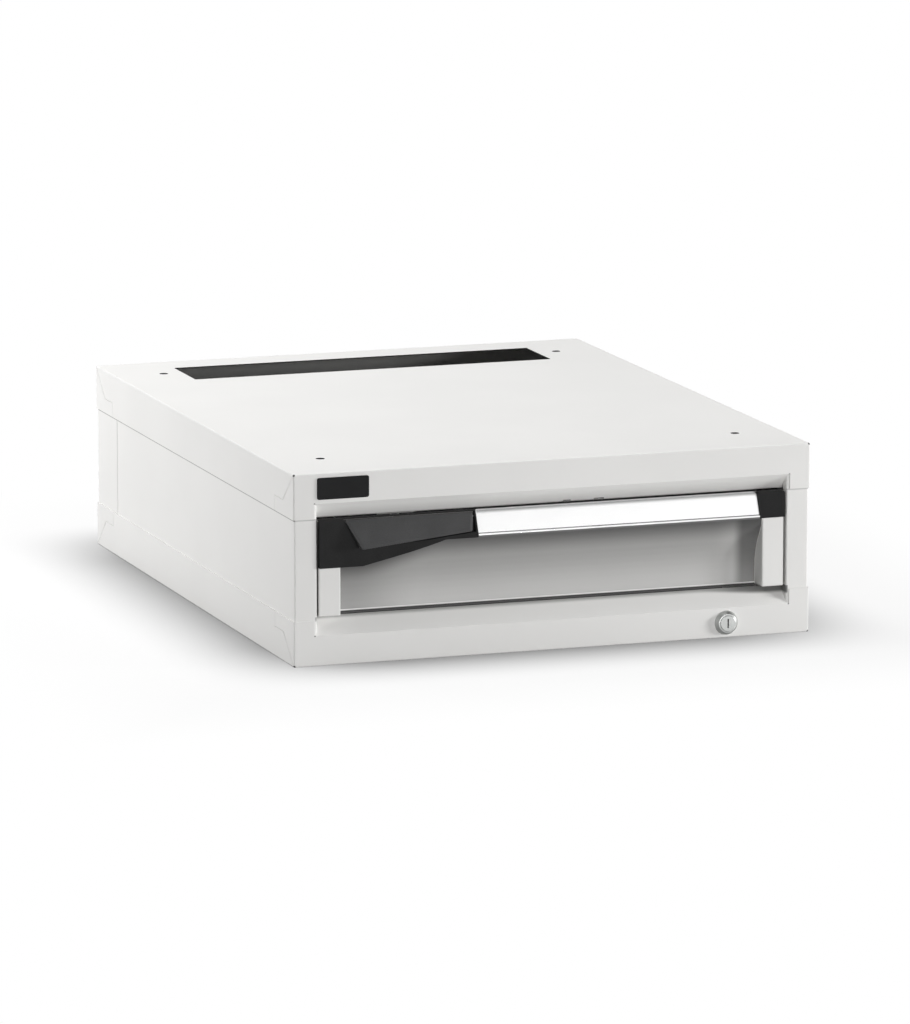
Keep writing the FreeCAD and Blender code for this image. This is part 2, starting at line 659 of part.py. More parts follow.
CABINET_RAIL_BACK = f"({TRAY_BACK} + cabinet_rail_over)"
DRAWER_RAIL_BACK = f"({TRAY_BACK} - drawer_rail_short)"
CHANNEL_HALF = "(roller_diameter / 2 + roller_play + rail_sheet)"
BAR_MIDDLE = f"((upright_face + {TRAY_LEFT}) / 2)"
BAR_LEFT = f"({BAR_MIDDLE} - middle_bar / 2)"
BAR_RIGHT = f"({BAR_MIDDLE} + middle_bar / 2)"
CHANNEL_UP = (f"{RUNNER_Z} - {CHANNEL_HALF}", f"{RUNNER_Z} + {CHANNEL_HALF}")


def channel(name, side, mouth, back, rivet_spots):
    """A channel against a wall at side, open towards mouth, with a hole for each rivet."""
    web = f"{side} + rail_sheet" if mouth == "right" else f"{side} - rail_sheet"
    reach = f"{BAR_LEFT} - rail_gap" if mouth == "right" else f"{BAR_RIGHT} + rail_gap"
    across = (side, reach) if mouth == "right" else (reach, side)
    inner = (web, f"{reach} + 1") if mouth == "right" else (f"{reach} - 1", web)
    block = box(name + "_block", across, ("rail_front", back), CHANNEL_UP)
    hollow = box(
        name + "_hollow",
        inner,
        ("rail_front - 1", f"{back} + 1"),
        (f"{RUNNER_Z} - {CHANNEL_HALF} + rail_sheet", f"{RUNNER_Z} + {CHANNEL_HALF} - rail_sheet"),
    )
    low, high = (side, web) if mouth == "right" else (web, side)
    holes = [rivet_hole(name + "_hole", "x", low, high, y=spot, z=RUNNER_Z) for spot in rivet_spots]
    return cut(name, block, hollow, *holes)


cabinet_rail = node(
    "left_cabinet_rail",
    channel("left_cabinet_rail", "upright_face", "right", CABINET_RAIL_BACK, rail_rivet_spots),
)
right_node("right_cabinet_rail", cabinet_rail)

cabinet_rivets_left = group(
    "cabinet_rivets_left",
    *[
        rivet("cabinet_rivet", "x", *RAIL_GRIP, y=spot, z=RUNNER_Z)
        for spot in rail_rivet_spots
    ],
)
cabinet_rivets_right = mirrored("cabinet_rivets_right", cabinet_rivets_left, (1, 0, 0), x="width / 2")
node("cabinet_rail_rivets", group("cabinet_rail_rivets", cabinet_rivets_left, cabinet_rivets_right))

MIDDLE_BACK = f"({TRAY_BACK} + middle_over)"
OUTER_REAR = f"({MIDDLE_BACK} - roller_tail)"
OUTER_FRONT = f"({OUTER_REAR} - roller_pair)"
INNER_FRONT = "(middle_front + roller_end)"
INNER_REAR = f"({INNER_FRONT} + roller_pair)"
rollers = (
    ("outer_roller_front", OUTER_FRONT, -1),
    ("outer_roller_rear", OUTER_REAR, -1),
    ("inner_roller_front", INNER_FRONT, 1),
    ("inner_roller_rear", INNER_REAR, 1),
)


def bar_side(side, distance):
    """A place at a distance out from the middle bar's left face (side -1) or right face (side 1)."""
    return f"{BAR_LEFT} - ({distance})" if side < 0 else f"{BAR_RIGHT} + ({distance})"


def side_rod(name, side, start, end, diameter, spot):
    """A rod square to the middle bar between two distances from its face."""
    near, far = bar_side(side, start), bar_side(side, end)
    low, high = (far, near) if side < 0 else (near, far)
    return rod(name, "x", low, high, diameter, y=spot, z=RUNNER_Z)


middle_block = box(
    "middle_block",
    (BAR_LEFT, BAR_RIGHT),
    ("middle_front", MIDDLE_BACK),
    (f"{RUNNER_Z} - middle_height / 2", f"{RUNNER_Z} + middle_height / 2"),
)
tail_holes = [
    rod(
        "tail_hole",
        "x",
        f"{BAR_LEFT} - 1",
        f"{BAR_RIGHT} + 1",
        "stud_tail + 2 * hole_play",
        y=spot,
        z=RUNNER_Z,
    )
    for name, spot, side in rollers
]
middle_rail = node("left_middle_rail", cut("left_middle_rail", middle_block, *tail_holes))
right_node("right_middle_rail", middle_rail)

ROLLER_FAR = "roller_stand + roller_width"
CUP_FLOOR = f"{ROLLER_FAR} - roller_cup"
studs = []
for name, spot, side in rollers:
    studs.append(
        fuse(
            name + "_stud",
            side_rod(name + "_tail", side, "-middle_bar", "0", "stud_tail", spot),
            side_rod(name + "_shoulder", side, "0", "roller_stand - stud_end_play", "stud_shoulder", spot),
            side_rod(name + "_pin", side, "0", f"{CUP_FLOOR} + stud_end_play", "stud_diameter", spot),
            side_rod(
                name + "_head",
                side,
                f"{CUP_FLOOR} + stud_end_play",
                f"{CUP_FLOOR} + stud_end_play + stud_head",
                "stud_shoulder",
                spot,
            ),
        )
    )
roller_studs = node("left_roller_studs", group("left_roller_studs", *studs))
right_node("right_roller_studs", roller_studs)

for name, spot, side in rollers:
    wheel = side_rod(name + "_wheel", side, "roller_stand", ROLLER_FAR, "roller_diameter", spot)
    bore = side_rod(name + "_bore", side, "0", f"{ROLLER_FAR} + 1", "stud_diameter + 2 * stud_play", spot)
    cup = side_rod(
        name + "_cup", side, CUP_FLOOR, f"{ROLLER_FAR} + 1", "stud_shoulder + 4 * stud_end_play", spot
    )
    roller = node("left_" + name, cut("left_" + name, wheel, bore, cup))
    right_node("right_" + name, roller)

BUFFER_FRONT = f"({OUTER_REAR} + roller_diameter / 2 + buffer_gap)"
buffer_left = box(
    "buffer_left",
    ("upright_face + rail_sheet", f"{BAR_LEFT} - rail_gap"),
    (BUFFER_FRONT, f"{BUFFER_FRONT} + buffer_length"),
    (f"{RUNNER_Z} - {CHANNEL_HALF} + rail_sheet", f"{RUNNER_Z} + {CHANNEL_HALF} - rail_sheet"),
)
buffer_right = mirrored("buffer_right", buffer_left, (1, 0, 0), x="width / 2")
node("rail_buffers", group("rail_buffers", buffer_left, buffer_right))


# Badge and lock

badge_block = box(
    "badge_block",
    ("badge_left", "badge_left + badge_width"),
    ("-badge_plate", "0"),
    ("height - badge_drop - badge_height", "height - badge_drop"),
)
badge_round = rounded("badge_round", badge_block, NUMBERS["badge_corner"], along_y)
node("badge_plate", group("badge_plate", badge_round))

barrel_ring = doc.addObject("Part::Cone", "barrel_ring")
barrel_ring.Placement.Rotation = TURNS["y"]
bind(barrel_ring, Radius1="lock_ring_front / 2", Radius2="lock_ring / 2", Height="lock_ring_depth")
bind(barrel_ring, y="-lock_ring_depth", **LOCK_AXIS)
barrel_shell = rod("barrel_shell", "y", "-1", "lock_length", "lock_shell", **LOCK_AXIS)
barrel_bore = rod(
    "barrel_bore", "y", "-lock_ring_depth - 1", "lock_length + 1", "plug_body + 2 * plug_play", **LOCK_AXIS
)
HEAD_FRONT = "(-lock_ring_depth - plug_proud)"
HEAD_BACK = f"({HEAD_FRONT} + plug_head_depth)"
barrel_seat = rod(
    "barrel_seat",
    "y",
    "-lock_ring_depth - 1",
    f"{HEAD_BACK} + plug_end_play",
    "plug_head + 2 * plug_play",
    **LOCK_AXIS,
)
barrel_solid = fuse("barrel_solid", barrel_ring, barrel_shell)
node("lock_barrel", cut("lock_barrel", barrel_solid, barrel_bore, barrel_seat))

nut_block = doc.addObject("Part::Prism", "nut_block")
nut_block.Polygon = 6
nut_block.Placement.Rotation = TURNS["y"]
bind(nut_block, Circumradius="lock_nut_flats / sqrt(3)", Height="lock_nut_depth", y=SKIN, **LOCK_AXIS)
nut_bore = rod(
    "nut_bore", "y", "0", f"{SKIN} + lock_nut_depth + 1", "lock_shell + 2 * hole_play", **LOCK_AXIS
)
node("lock_nut", cut("lock_nut", nut_block, nut_bore))

TAIL_BACK = f"{CAM_BACK} - plug_end_play"
plug_solid = fuse(
    "plug_solid",
    rod("plug_face", "y", HEAD_FRONT, HEAD_BACK, "plug_head", **LOCK_AXIS),
    rod("plug_core", "y", HEAD_BACK, f"{CAM_FRONT} - plug_end_play", "plug_body", **LOCK_AXIS),
    rod("plug_end", "y", "0", TAIL_BACK, "plug_tail", **LOCK_AXIS),
)
key_cut = box(
    "key_cut",
    (f"{LOCK_X} - key_slot / 2", f"{LOCK_X} + key_slot / 2"),
    (f"{HEAD_FRONT} - 1", f"{HEAD_FRONT} + key_slot_depth"),
    (f"{LOCK_Z} - key_slot_height / 2", f"{LOCK_Z} + key_slot_height / 2"),
)
thread_cut = rod(
    "thread_cut",
    "y",
    f"{TAIL_BACK} - lock_length / 2",
    f"{TAIL_BACK} + 1",
    "cam_screw + 2 * hole_play",
    **LOCK_AXIS,
)
node("lock_plug", cut("lock_plug", plug_solid, key_cut, thread_cut))

cam_bar = fuse(
    "cam_bar",
    box(
        "cam_arm",
        (f"{LOCK_X} - {CAM_REACH}", LOCK_X),
        (CAM_FRONT, CAM_BACK),
        (f"{LOCK_Z} - cam_width / 2", f"{LOCK_Z} + cam_width / 2"),
    ),
    rod("cam_hub", "y", CAM_FRONT, CAM_BACK, "cam_width", **LOCK_AXIS),
)
cam_hole = rod(
    "cam_hole", "y", f"{CAM_FRONT} - 1", f"{CAM_BACK} + 1", "plug_tail + 2 * hole_play", **LOCK_AXIS
)
node("lock_cam", cut("lock_cam", cam_bar, cam_hole))

node(
    "cam_screw",
    fuse(
        "cam_screw",
        rod("cam_screw_head", "y", CAM_BACK, f"{CAM_BACK} + cam_screw_depth", "cam_screw_head", **LOCK_AXIS),
        rod(
            "cam_screw_shank",
            "y",
            f"{TAIL_BACK} - lock_length / 2 + cam_screw_gap",
            CAM_BACK,
            "cam_screw",
            **LOCK_AXIS,
        ),
    ),
)


# Latch strike: a plate behind the strip's folded edge

NOSE_TOP = f"({PIVOT_Z} + hook_nose)"
strike_plate = box(
    "strike_plate",
    (f"{HOOK_X} - strike_width / 2", f"{HOOK_X} + strike_width / 2"),
    ("strip_run", "strip_run + strike_sheet"),
    (f"{NOSE_TOP} + strike_clear", f"{STRIP_TOP} + strip_return"),
)
node("latch_strike", cut("latch_strike", strike_plate, *strike_holes))
strike_rivets = [
    rivet("strike_rivet", "y", *STRIKE_GRIP, x=spot, z=STRIKE_RIVET_Z)
    for spot in strike_spots
]
node("strike_rivets", group("strike_rivets", *strike_rivets))


# Drawer tray with slotted walls

TRAY_ACROSS = (TRAY_LEFT, f"width - {TRAY_LEFT}")
tray_outer = box("tray_outer", TRAY_ACROSS, (TRAY_FRONT, TRAY_BACK), (TRAY_LOW, TRAY_TOP))
tray_hollow = box(
    "tray_hollow",
    (f"{TRAY_LEFT} + tray_sheet", f"width - {TRAY_LEFT} - tray_sheet"),
    (f"{TRAY_FRONT} + tray_sheet", f"{TRAY_BACK} - tray_sheet"),
    (f"{TRAY_LOW} + tray_sheet", f"{TRAY_TOP} + 1"),
)
SLOT_UP = (f"{TRAY_TOP} - wall_slot_drop - wall_slot_height", f"{TRAY_TOP} - wall_slot_drop")
front_depth = sum(NUMBERS[name] for name in ("front_inset", "recess_depth", "front_sheet"))
inside_depth = NUMBERS["depth"] - NUMBERS["drawer_space"] - front_depth - 2 * NUMBERS["tray_sheet"]
side_space = sum(NUMBERS[name] for name in ("upright_face", "runner_space", "tray_sheet"))
side_steps = math.floor(inside_depth / NUMBERS["slot_step"] + 0.001)
end_steps = math.floor((NUMBERS["width"] - 2 * side_space) / NUMBERS["slot_step"] + 0.001)
side_slots = []
for step in range(1, side_steps):
    middle = f"({TRAY_FRONT} + tray_sheet + {step} * slot_step)"
    side_slots.append(
        box(
            "side_slot",
            (f"{TRAY_LEFT} - 1", f"width - {TRAY_LEFT} + 1"),
            (f"{middle} - wall_slot / 2", f"{middle} + wall_slot / 2"),
            SLOT_UP,
        )
    )
end_slots = []
for step in range(1, end_steps):
    middle = f"({TRAY_LEFT} + tray_sheet + {step} * slot_step)"
    end_slots.append(
        box(
            "end_slot",
            (f"{middle} - wall_slot / 2", f"{middle} + wall_slot / 2"),
            (f"{TRAY_FRONT} - 1", f"{TRAY_BACK} + 1"),
            SLOT_UP,
        )
    )
drawer_rivet_spots = [
    f"{TRAY_FRONT} + tray_sheet + {step + 0.5} * slot_step"
    for step in (2, side_steps // 3, side_steps * 2 // 3 - 1, side_steps - 4)
]
drawer_holes = [
    rivet_hole("drawer_hole", "x", TRAY_LEFT, f"width - {TRAY_LEFT}", y=spot, z=RUNNER_Z)
    for spot in drawer_rivet_spots
]
FRONT_RIVET_X = f"({FRONT_LEFT} + post_width + front_flange / 2)"
front_rivet_spots = [
    (across, f"{TRAY_LOW} + ({TRAY_TOP} - {TRAY_LOW}) * {share}")
    for across in (FRONT_RIVET_X, f"width - {FRONT_RIVET_X}")
    for share in ("0.22", "0.52", "0.82")
]
front_holes = [
    rivet_hole("front_hole", "y", *FRONT_GRIP, x=across, z=up)
    for across, up in front_rivet_spots
]
catch_spots = [f"{LOCK_X} - catch_width / 4", f"{LOCK_X} + catch_width / 4"]
CATCH_FRONT = f"({CAM_BACK} + catch_gap)"
CATCH_RIVET_Y = f"({CATCH_FRONT} + catch_leg - rivet_head_diameter)"
catch_holes = [
    rivet_hole("catch_hole", "z", *CATCH_GRIP, x=spot, y=CATCH_RIVET_Y)
    for spot in catch_spots
]
tray_plain = cut("tray_plain", tray_outer, tray_hollow)
tray_sides = cut("tray_sides", tray_plain, group("side_slots", *side_slots))
tray_ends = cut("tray_ends", tray_sides, group("end_slots", *end_slots))
node("drawer_tray", cut("drawer_tray", tray_ends, *drawer_holes, *front_holes, *catch_holes))

node(
    "front_rivets",
    group(
        "front_rivets",
        *[
            rivet("front_rivet", "y", *FRONT_GRIP, x=across, z=up)
            for across, up in front_rivet_spots
        ],
    ),
)

drawer_rail = node(
    "left_drawer_rail",
    channel("left_drawer_rail", TRAY_LEFT, "left", DRAWER_RAIL_BACK, drawer_rivet_spots),
)
right_node("right_drawer_rail", drawer_rail)
drawer_rivets_left = group(
    "drawer_rivets_left",
    *[
        rivet("drawer_rivet", "x", *DRAWER_GRIP, y=spot, z=RUNNER_Z)
        for spot in drawer_rivet_spots
    ],
)
drawer_rivets_right = mirrored("drawer_rivets_right", drawer_rivets_left, (1, 0, 0), x="width / 2")
node("drawer_rail_rivets", group("drawer_rail_rivets", drawer_rivets_left, drawer_rivets_right))

catch_plate = fuse(
    "catch_folded",
    box(
        "catch_leg_plate",
        (f"{LOCK_X} - catch_width / 2", f"{LOCK_X} + catch_width / 2"),
        (CATCH_FRONT, f"{CATCH_FRONT} + catch_leg"),
        (f"{TRAY_LOW} - catch_sheet", TRAY_LOW),
    ),
    box(
        "catch_tongue",
        (f"{LOCK_X} - catch_width / 2", f"{LOCK_X} + catch_width / 2"),
        (CATCH_FRONT, f"{CATCH_FRONT} + catch_sheet"),
        (f"{FRONT_LOW} + catch_drop", TRAY_LOW),
    ),
)
node("lock_catch_plate", cut("lock_catch_plate", catch_plate, *catch_holes))
catch_rivets = [
    rivet("catch_rivet", "z", *CATCH_GRIP, x=spot, y=CATCH_RIVET_Y)
    for spot in catch_spots
]
node("catch_rivets", group("catch_rivets", *catch_rivets))


# Drawer front: two posts, and a recess panel that slopes forward to the handle

RECESS_FOOT_Z = f"({FRONT_LOW} + recess_foot)"
RECESS_TOP_Z = f"({GRIP_LOW} - recess_gap)"
RECESS_Y = f"({FACE} + recess_depth)"
SLOPE = f"(recess_depth / ({RECESS_TOP_Z} - {RECESS_FOOT_Z}))"
SLANT = f"(front_sheet * sqrt(1 + {SLOPE} * {SLOPE}))"
POST_INSIDE = f"({FRONT_LEFT} + post_width)"

front_block = box("front_block", (FRONT_LEFT, FRONT_RIGHT), (FACE, TRAY_FRONT), (FRONT_LOW, FRONT_TOP))
recess_cut = prism(
    "recess_cut",
    "YZ",
    [
        (f"{FACE} - 1", f"{FRONT_LOW} - 1"),
        (RECESS_Y, f"{FRONT_LOW} - 1"),
        (RECESS_Y, RECESS_FOOT_Z),
        (FACE, RECESS_TOP_Z),
        (f"{FACE} - 1", RECESS_TOP_Z),
    ],
    POST_INSIDE,
    f"width - {POST_INSIDE}",
)
middle_hollow = prism(
    "middle_hollow",
    "YZ",
    [
        (FACE_BACK, f"{FRONT_TOP} - front_sheet"),
        (FACE_BACK, f"{RECESS_TOP_Z} + ({SLANT} - front_sheet) / {SLOPE}"),
        (f"{RECESS_Y} + {SLANT}", RECESS_FOOT_Z),
        (f"{TRAY_FRONT} + 1", RECESS_FOOT_Z),
        (f"{TRAY_FRONT} + 1", f"{FRONT_TOP} - front_sheet"),
    ],
    POST_INSIDE,
    f"width - {POST_INSIDE}",
)
post_hollow = box(
    "post_hollow",
    (f"{FRONT_LEFT} + front_sheet", f"{POST_INSIDE} - front_sheet"),
    (FACE_BACK, f"{TRAY_FRONT} + 1"),
    (f"{FRONT_LOW} + front_sheet", f"{FRONT_TOP} - front_sheet"),
)
post_hollow_right = mirrored("post_hollow_right", post_hollow, (1, 0, 0), x="width / 2")
foot_hem = box(
    "foot_hem",
    (POST_INSIDE, f"width - {POST_INSIDE}"),
    (f"{RECESS_Y} - foot_lip", RECESS_Y),
    (FRONT_LOW, f"{FRONT_LOW} + front_sheet"),
)
join_flange = box(
    "join_flange",
    (f"{POST_INSIDE} - front_sheet", f"{POST_INSIDE} + front_flange"),
    (RECESS_Y, TRAY_FRONT),
    (RECESS_FOOT_Z, f"{TRAY_TOP} - 2 * front_sheet"),
)
join_flange_right = mirrored("join_flange_right", join_flange, (1, 0, 0), x="width / 2")
lever_window = box(
    "lever_window",
    (f"{FRONT_LEFT} + lever_left - lever_gap - lug_length", f"{GRIP_LEFT} - 1"),
    (f"{FACE} - 1", f"{FACE} + lug_depth + window_room"),
    (f"{PIVOT_Z} - pivot_window", f"{PIVOT_Z} + window_top"),
)
nose_window = box(
    "nose_window",
    (f"{HOOK_X} - hook_width", f"{HOOK_X} + hook_width"),
    (f"strip_run - {SKIN}", f"{TRAY_FRONT} + 1"),
    (f"{FRONT_TOP} - 2 * front_sheet", f"{FRONT_TOP} + 1"),
)
SCREW_Z = f"({GRIP_LOW} + grip_height / 3)"
grip_screws = [
    (f"{GRIP_LEFT} + ({GRIP_RIGHT} - {GRIP_LEFT}) * {share}", SCREW_Z) for share in (0.1, 0.37, 0.63, 0.9)
]
cap_screws = [
    (f"{FRONT_LEFT} + post_width / 2", f"{GRIP_TOP} - latch_height + cap_screw_low"),
    (f"{FRONT_LEFT} + post_width / 2", f"{GRIP_TOP} - latch_height + cap_screw_low + cap_screw_step"),
    (f"{FRONT_RIGHT} - post_width / 2", SCREW_Z),
]


def screw_hole(name, start, end, spot):
    """A hole for a screw in the drawer front or what it holds."""
    return rod(name, "y", start, end, "screw_diameter + 2 * hole_play", x=spot[0], z=spot[1])


def back_screw(name, tip, spot):
    """A screw put in from behind the drawer front's sheet, with its head on the sheet."""
    return fuse(
        name,
        rod(name + "_shank", "y", tip, FACE_BACK, "screw_diameter", x=spot[0], z=spot[1]),
        rod(
            name + "_head",
            "y",
            FACE_BACK,
            f"{FACE_BACK} + screw_head",
            "screw_head_diameter",
            x=spot[0],
            z=spot[1],
        ),
    )


sheet_holes = [
    screw_hole("sheet_hole", f"{FACE} - 1", f"{FACE_BACK} + 1", spot) for spot in grip_screws + cap_screws
]
front_open = cut("front_open", front_block, recess_cut, post_hollow, post_hollow_right)
front_bare = cut("front_bare", front_open, middle_hollow)
front_folded = fuse("front_folded", front_bare, foot_hem, join_flange, join_flange_right)
front_cuts = [lever_window, nose_window, *sheet_holes, *front_holes]
node("drawer_front", cut("drawer_front", front_folded, *front_cuts))


# Handle: a sloping profile with a label strip under a clear cover

LABEL_TOP_Z = f"({GRIP_TOP} - label_top)"
LABEL_FOOT_Z = f"({GRIP_LOW} + label_foot)"
CHIN_Z = f"({GRIP_LOW} + grip_chin)"
BACK_INSIDE = f"({FACE} - grip_back)"
LIP_Y = f"({grip_slope_y('grip_height - grip_chin')} + grip_wall)"
grip_form = prism(
    "grip_form",
    "YZ",
    [
        (FACE, GRIP_TOP),
        (GRIP_TOP_Y, GRIP_TOP),
        (grip_slope_y("label_top"), LABEL_TOP_Z),
        (f"{grip_slope_y('label_top')} + label_recess", LABEL_TOP_Z),
        (f"{grip_slope_y('grip_height - label_foot')} + label_recess", LABEL_FOOT_Z),
        (grip_slope_y("grip_height - label_foot"), LABEL_FOOT_Z),
        (grip_slope_y("grip_height - grip_chin"), CHIN_Z),
        (f"{grip_slope_y('grip_height - grip_chin')} + grip_chin / 2", GRIP_LOW),
        (LIP_Y, GRIP_LOW),
        (BACK_INSIDE, f"{GRIP_LOW} + (({BACK_INSIDE}) - ({LIP_Y})) / {GRIP_SLOPE}"),
        (BACK_INSIDE, GRIP_LOW),
        (FACE, GRIP_LOW),
    ],
    GRIP_LEFT,
    GRIP_RIGHT,
)
grip_holes = [screw_hole("grip_hole", f"{BACK_INSIDE} - 1", f"{FACE} + 1", spot) for spot in grip_screws]
node("handle_profile", cut("handle_profile", grip_form, *grip_holes))
node(
    "handle_screws",
    group("handle_screws", *[back_screw("handle_screw", BACK_INSIDE, spot) for spot in grip_screws]),
)


def label_layer(name, back, front):
    """A flat layer in the label recess, between two depths forward of the recess's floor."""
    top, foot = grip_slope_y("label_top"), grip_slope_y("grip_height - label_foot")
    return prism(
        name,
        "YZ",
        [
            (f"{top} + label_recess - ({front})", LABEL_TOP_Z),
            (f"{foot} + label_recess - ({front})", LABEL_FOOT_Z),
            (f"{foot} + label_recess - ({back})", LABEL_FOOT_Z),
            (f"{top} + label_recess - ({back})", LABEL_TOP_Z),
        ],
        f"{GRIP_LEFT} + label_end",
        f"{GRIP_RIGHT} - label_end",
    )


node("label_strip", label_layer("label_strip", "0", "label_paper"))
node("label_cover", label_layer("label_cover", "label_paper", "label_paper + label_window"))


# Latch housing and right end cap: black mouldings at the ends of the handle

FRONT_VIEW = (f"{FACE} - 3 * grip_lean", f"{FACE} + 1")


def slope_block(name, outline, start, end):
    """A block with the handle's sloping face in front and the posts' faces behind, cut to an outline."""
    section = prism(
        name + "_section",
        "YZ",
        [
            (FACE, GRIP_TOP),
            (GRIP_TOP_Y, GRIP_TOP),
            (grip_slope_y("grip_height - grip_chin"), CHIN_Z),
            (f"{grip_slope_y('grip_height - grip_chin')} + grip_chin / 2", GRIP_LOW),
            (FACE, GRIP_LOW),
        ],
        start,
        end,
    )
    if outline is None:
        return section
    return common(name, section, prism(name + "_view", "XZ", outline, *FRONT_VIEW))


LATCH_LOW = f"({GRIP_TOP} - latch_height)"
RAMP_START = f"({FRONT_LEFT} + latch_foot)"
RAMP_END = f"({RAMP_START} + latch_ramp)"
RIM_LEFT = f"({GRIP_LEFT} - latch_rim)"
latch_plate = prism(
    "latch_plate",
    "XZ",
    [
        (FRONT_LEFT, LATCH_LOW),
        (RAMP_START, LATCH_LOW),
        (RAMP_END, GRIP_LOW),
        (GRIP_LEFT, GRIP_LOW),
        (GRIP_LEFT, GRIP_TOP),
        (FRONT_LEFT, GRIP_TOP),
    ],
    CAP_FACE,
    FACE,
)
latch_rim_block = slope_block("latch_rim_block", None, RIM_LEFT, GRIP_LEFT)
latch_band_block = slope_block(
    "latch_band_block",
    [
        (RAMP_END, GRIP_LOW),
        (GRIP_LEFT, GRIP_LOW),
        (GRIP_LEFT, f"{GRIP_LOW} + latch_band"),
        (RAMP_END, f"{GRIP_LOW} + latch_band_left"),
    ],
    RAMP_END,
    GRIP_LEFT,
)
LEVER_LEFT = f"({FRONT_LEFT} + lever_left)"
LEVER_RIGHT = f"({RIM_LEFT} - lever_gap)"
LUG_UP = (f"{PIVOT_Z} - pivot_window + lug_play", f"{PIVOT_Z} + window_top - lug_play")
left_lug = box(
    "left_lug",
    (f"{LEVER_LEFT} - lever_gap - lug_length + lug_play", f"{LEVER_LEFT} - lever_gap"),
    (FACE, f"{FACE} + lug_depth"),
    LUG_UP,
)
right_lug = box("right_lug", (RIM_LEFT, f"{GRIP_LEFT} - pin_wall"), (FACE, f"{FACE} + lug_depth"), LUG_UP)
lever_pocket = box(
    "lever_pocket",
    (f"{LEVER_LEFT} - lever_gap", RIM_LEFT),
    (f"{CAP_FACE} - 1", f"{FACE} + 1"),
    (f"{PIVOT_Z} - pivot_window + lug_play", f"{GRIP_TOP} - latch_brow"),
)
PIN_START = f"({LEVER_LEFT} - lever_gap - lug_length + lug_play + pin_short)"
PIN_END = f"({GRIP_LEFT} - pin_wall)"
pin_hole = rod(
    "pin_hole", "x", PIN_START, f"{PIN_END} + 1", "pin_diameter + 2 * pin_hold", **PIN_AXIS
)
cap_tip = f"({CAP_FACE} + cap_out / 4)"
latch_holes = [screw_hole("latch_hole", cap_tip, f"{FACE} + 1", spot) for spot in cap_screws[:2]]
latch_body = cut("latch_body", latch_plate, lever_pocket)
latch_whole = fuse("latch_whole", latch_body, latch_rim_block, latch_band_block, left_lug, right_lug)
node("latch_housing", cut("latch_housing", latch_whole, pin_hole, *latch_holes))

END_CAP_LOW = f"({GRIP_LOW} - end_cap_drop)"
cap_block = box(
    "cap_block",
    (f"{GRIP_RIGHT} + end_cap_rim / 2", FRONT_RIGHT),
    (CAP_FACE, FACE),
    (END_CAP_LOW, GRIP_TOP),
)


def at_upper_right(edge):
    """True for the outer upper corner of the right end cap."""
    centre = edge.CenterOfMass
    return along_y(edge) and centre.z > cap_middle.z and centre.x > cap_middle.x


doc.recompute()
cap_middle = cap_block.Shape.CenterOfMass
cap_round = rounded("cap_round", cap_block, NUMBERS["end_cap_round"], at_upper_right)
cap_rim = slope_block("cap_rim", None, GRIP_RIGHT, f"{GRIP_RIGHT} + end_cap_rim")
cap_screw_hole = screw_hole("cap_screw_hole", cap_tip, f"{FACE} + 1", cap_screws[2])
node("right_end_cap", cut("right_end_cap", fuse("cap_whole", cap_round, cap_rim), cap_screw_hole))
node(
    "cap_screws",
    group("cap_screws", *[back_screw("cap_screw", f"{cap_tip} + hole_play", spot) for spot in cap_screws]),
)


# Latch lever, hook, pin and spring

LEVER_TOP = f"({GRIP_TOP} - lever_drop)"
WEDGE_TOP = f"({PIVOT_Z} - pivot_window + lug_play + lever_gap / 2)"


def lever_face_y(below):
    """Where the lever's face is, at a height below the handle's top edge."""
    return f"({grip_slope_y(below)} - lever_out)"


def lever_wedge(name, inset, outline):
    """The space between the lever's face, moved back by inset, and its heel line, cut to an outline."""
    foot = "(lever_drop + lever_left_height)"
    section = prism(
        name + "_section",
        "YZ",
        [
            (f"{lever_face_y('lever_drop')} + ({inset})", LEVER_TOP),
            (f"{lever_face_y(foot)} + ({inset})", f"{LEVER_TOP} - lever_left_height"),
            (f"{CAP_FACE} - lever_heel", f"{LEVER_TOP} - lever_left_height"),
            (f"{CAP_FACE} - lever_gap / 2", WEDGE_TOP),
            (f"{lever_face_y('lever_drop')} + lever_wall", WEDGE_TOP),
            (f"{lever_face_y('lever_drop')} + lever_wall", LEVER_TOP),
        ],
        LEVER_LEFT,
        LEVER_RIGHT,
    )
    return common(name, section, prism(name + "_view", "XZ", outline, *FRONT_VIEW))


def lever_outline(wall):
    """The lever's four corners seen from the front, moved in by a wall's thickness at three sides."""
    return [
        (f"{LEVER_LEFT} + ({wall}) * 1.1", LEVER_TOP),
        (
            f"{FRONT_LEFT} + lever_left_foot + ({wall}) * 0.7",
            f"{LEVER_TOP} - lever_left_height + ({wall})",
        ),
        (
            f"{LEVER_RIGHT} - lever_right_in - ({wall})",
            f"{LEVER_TOP} - lever_right_height + ({wall})",
        ),
        (f"{LEVER_RIGHT} - ({wall})", LEVER_TOP),
    ]


lever_solid = lever_wedge("lever_solid", "0", lever_outline("0"))
lever_hollow = lever_wedge("lever_hollow", "lever_wall", lever_outline("lever_wall"))
lever_shell = cut("lever_shell", lever_solid, lever_hollow)

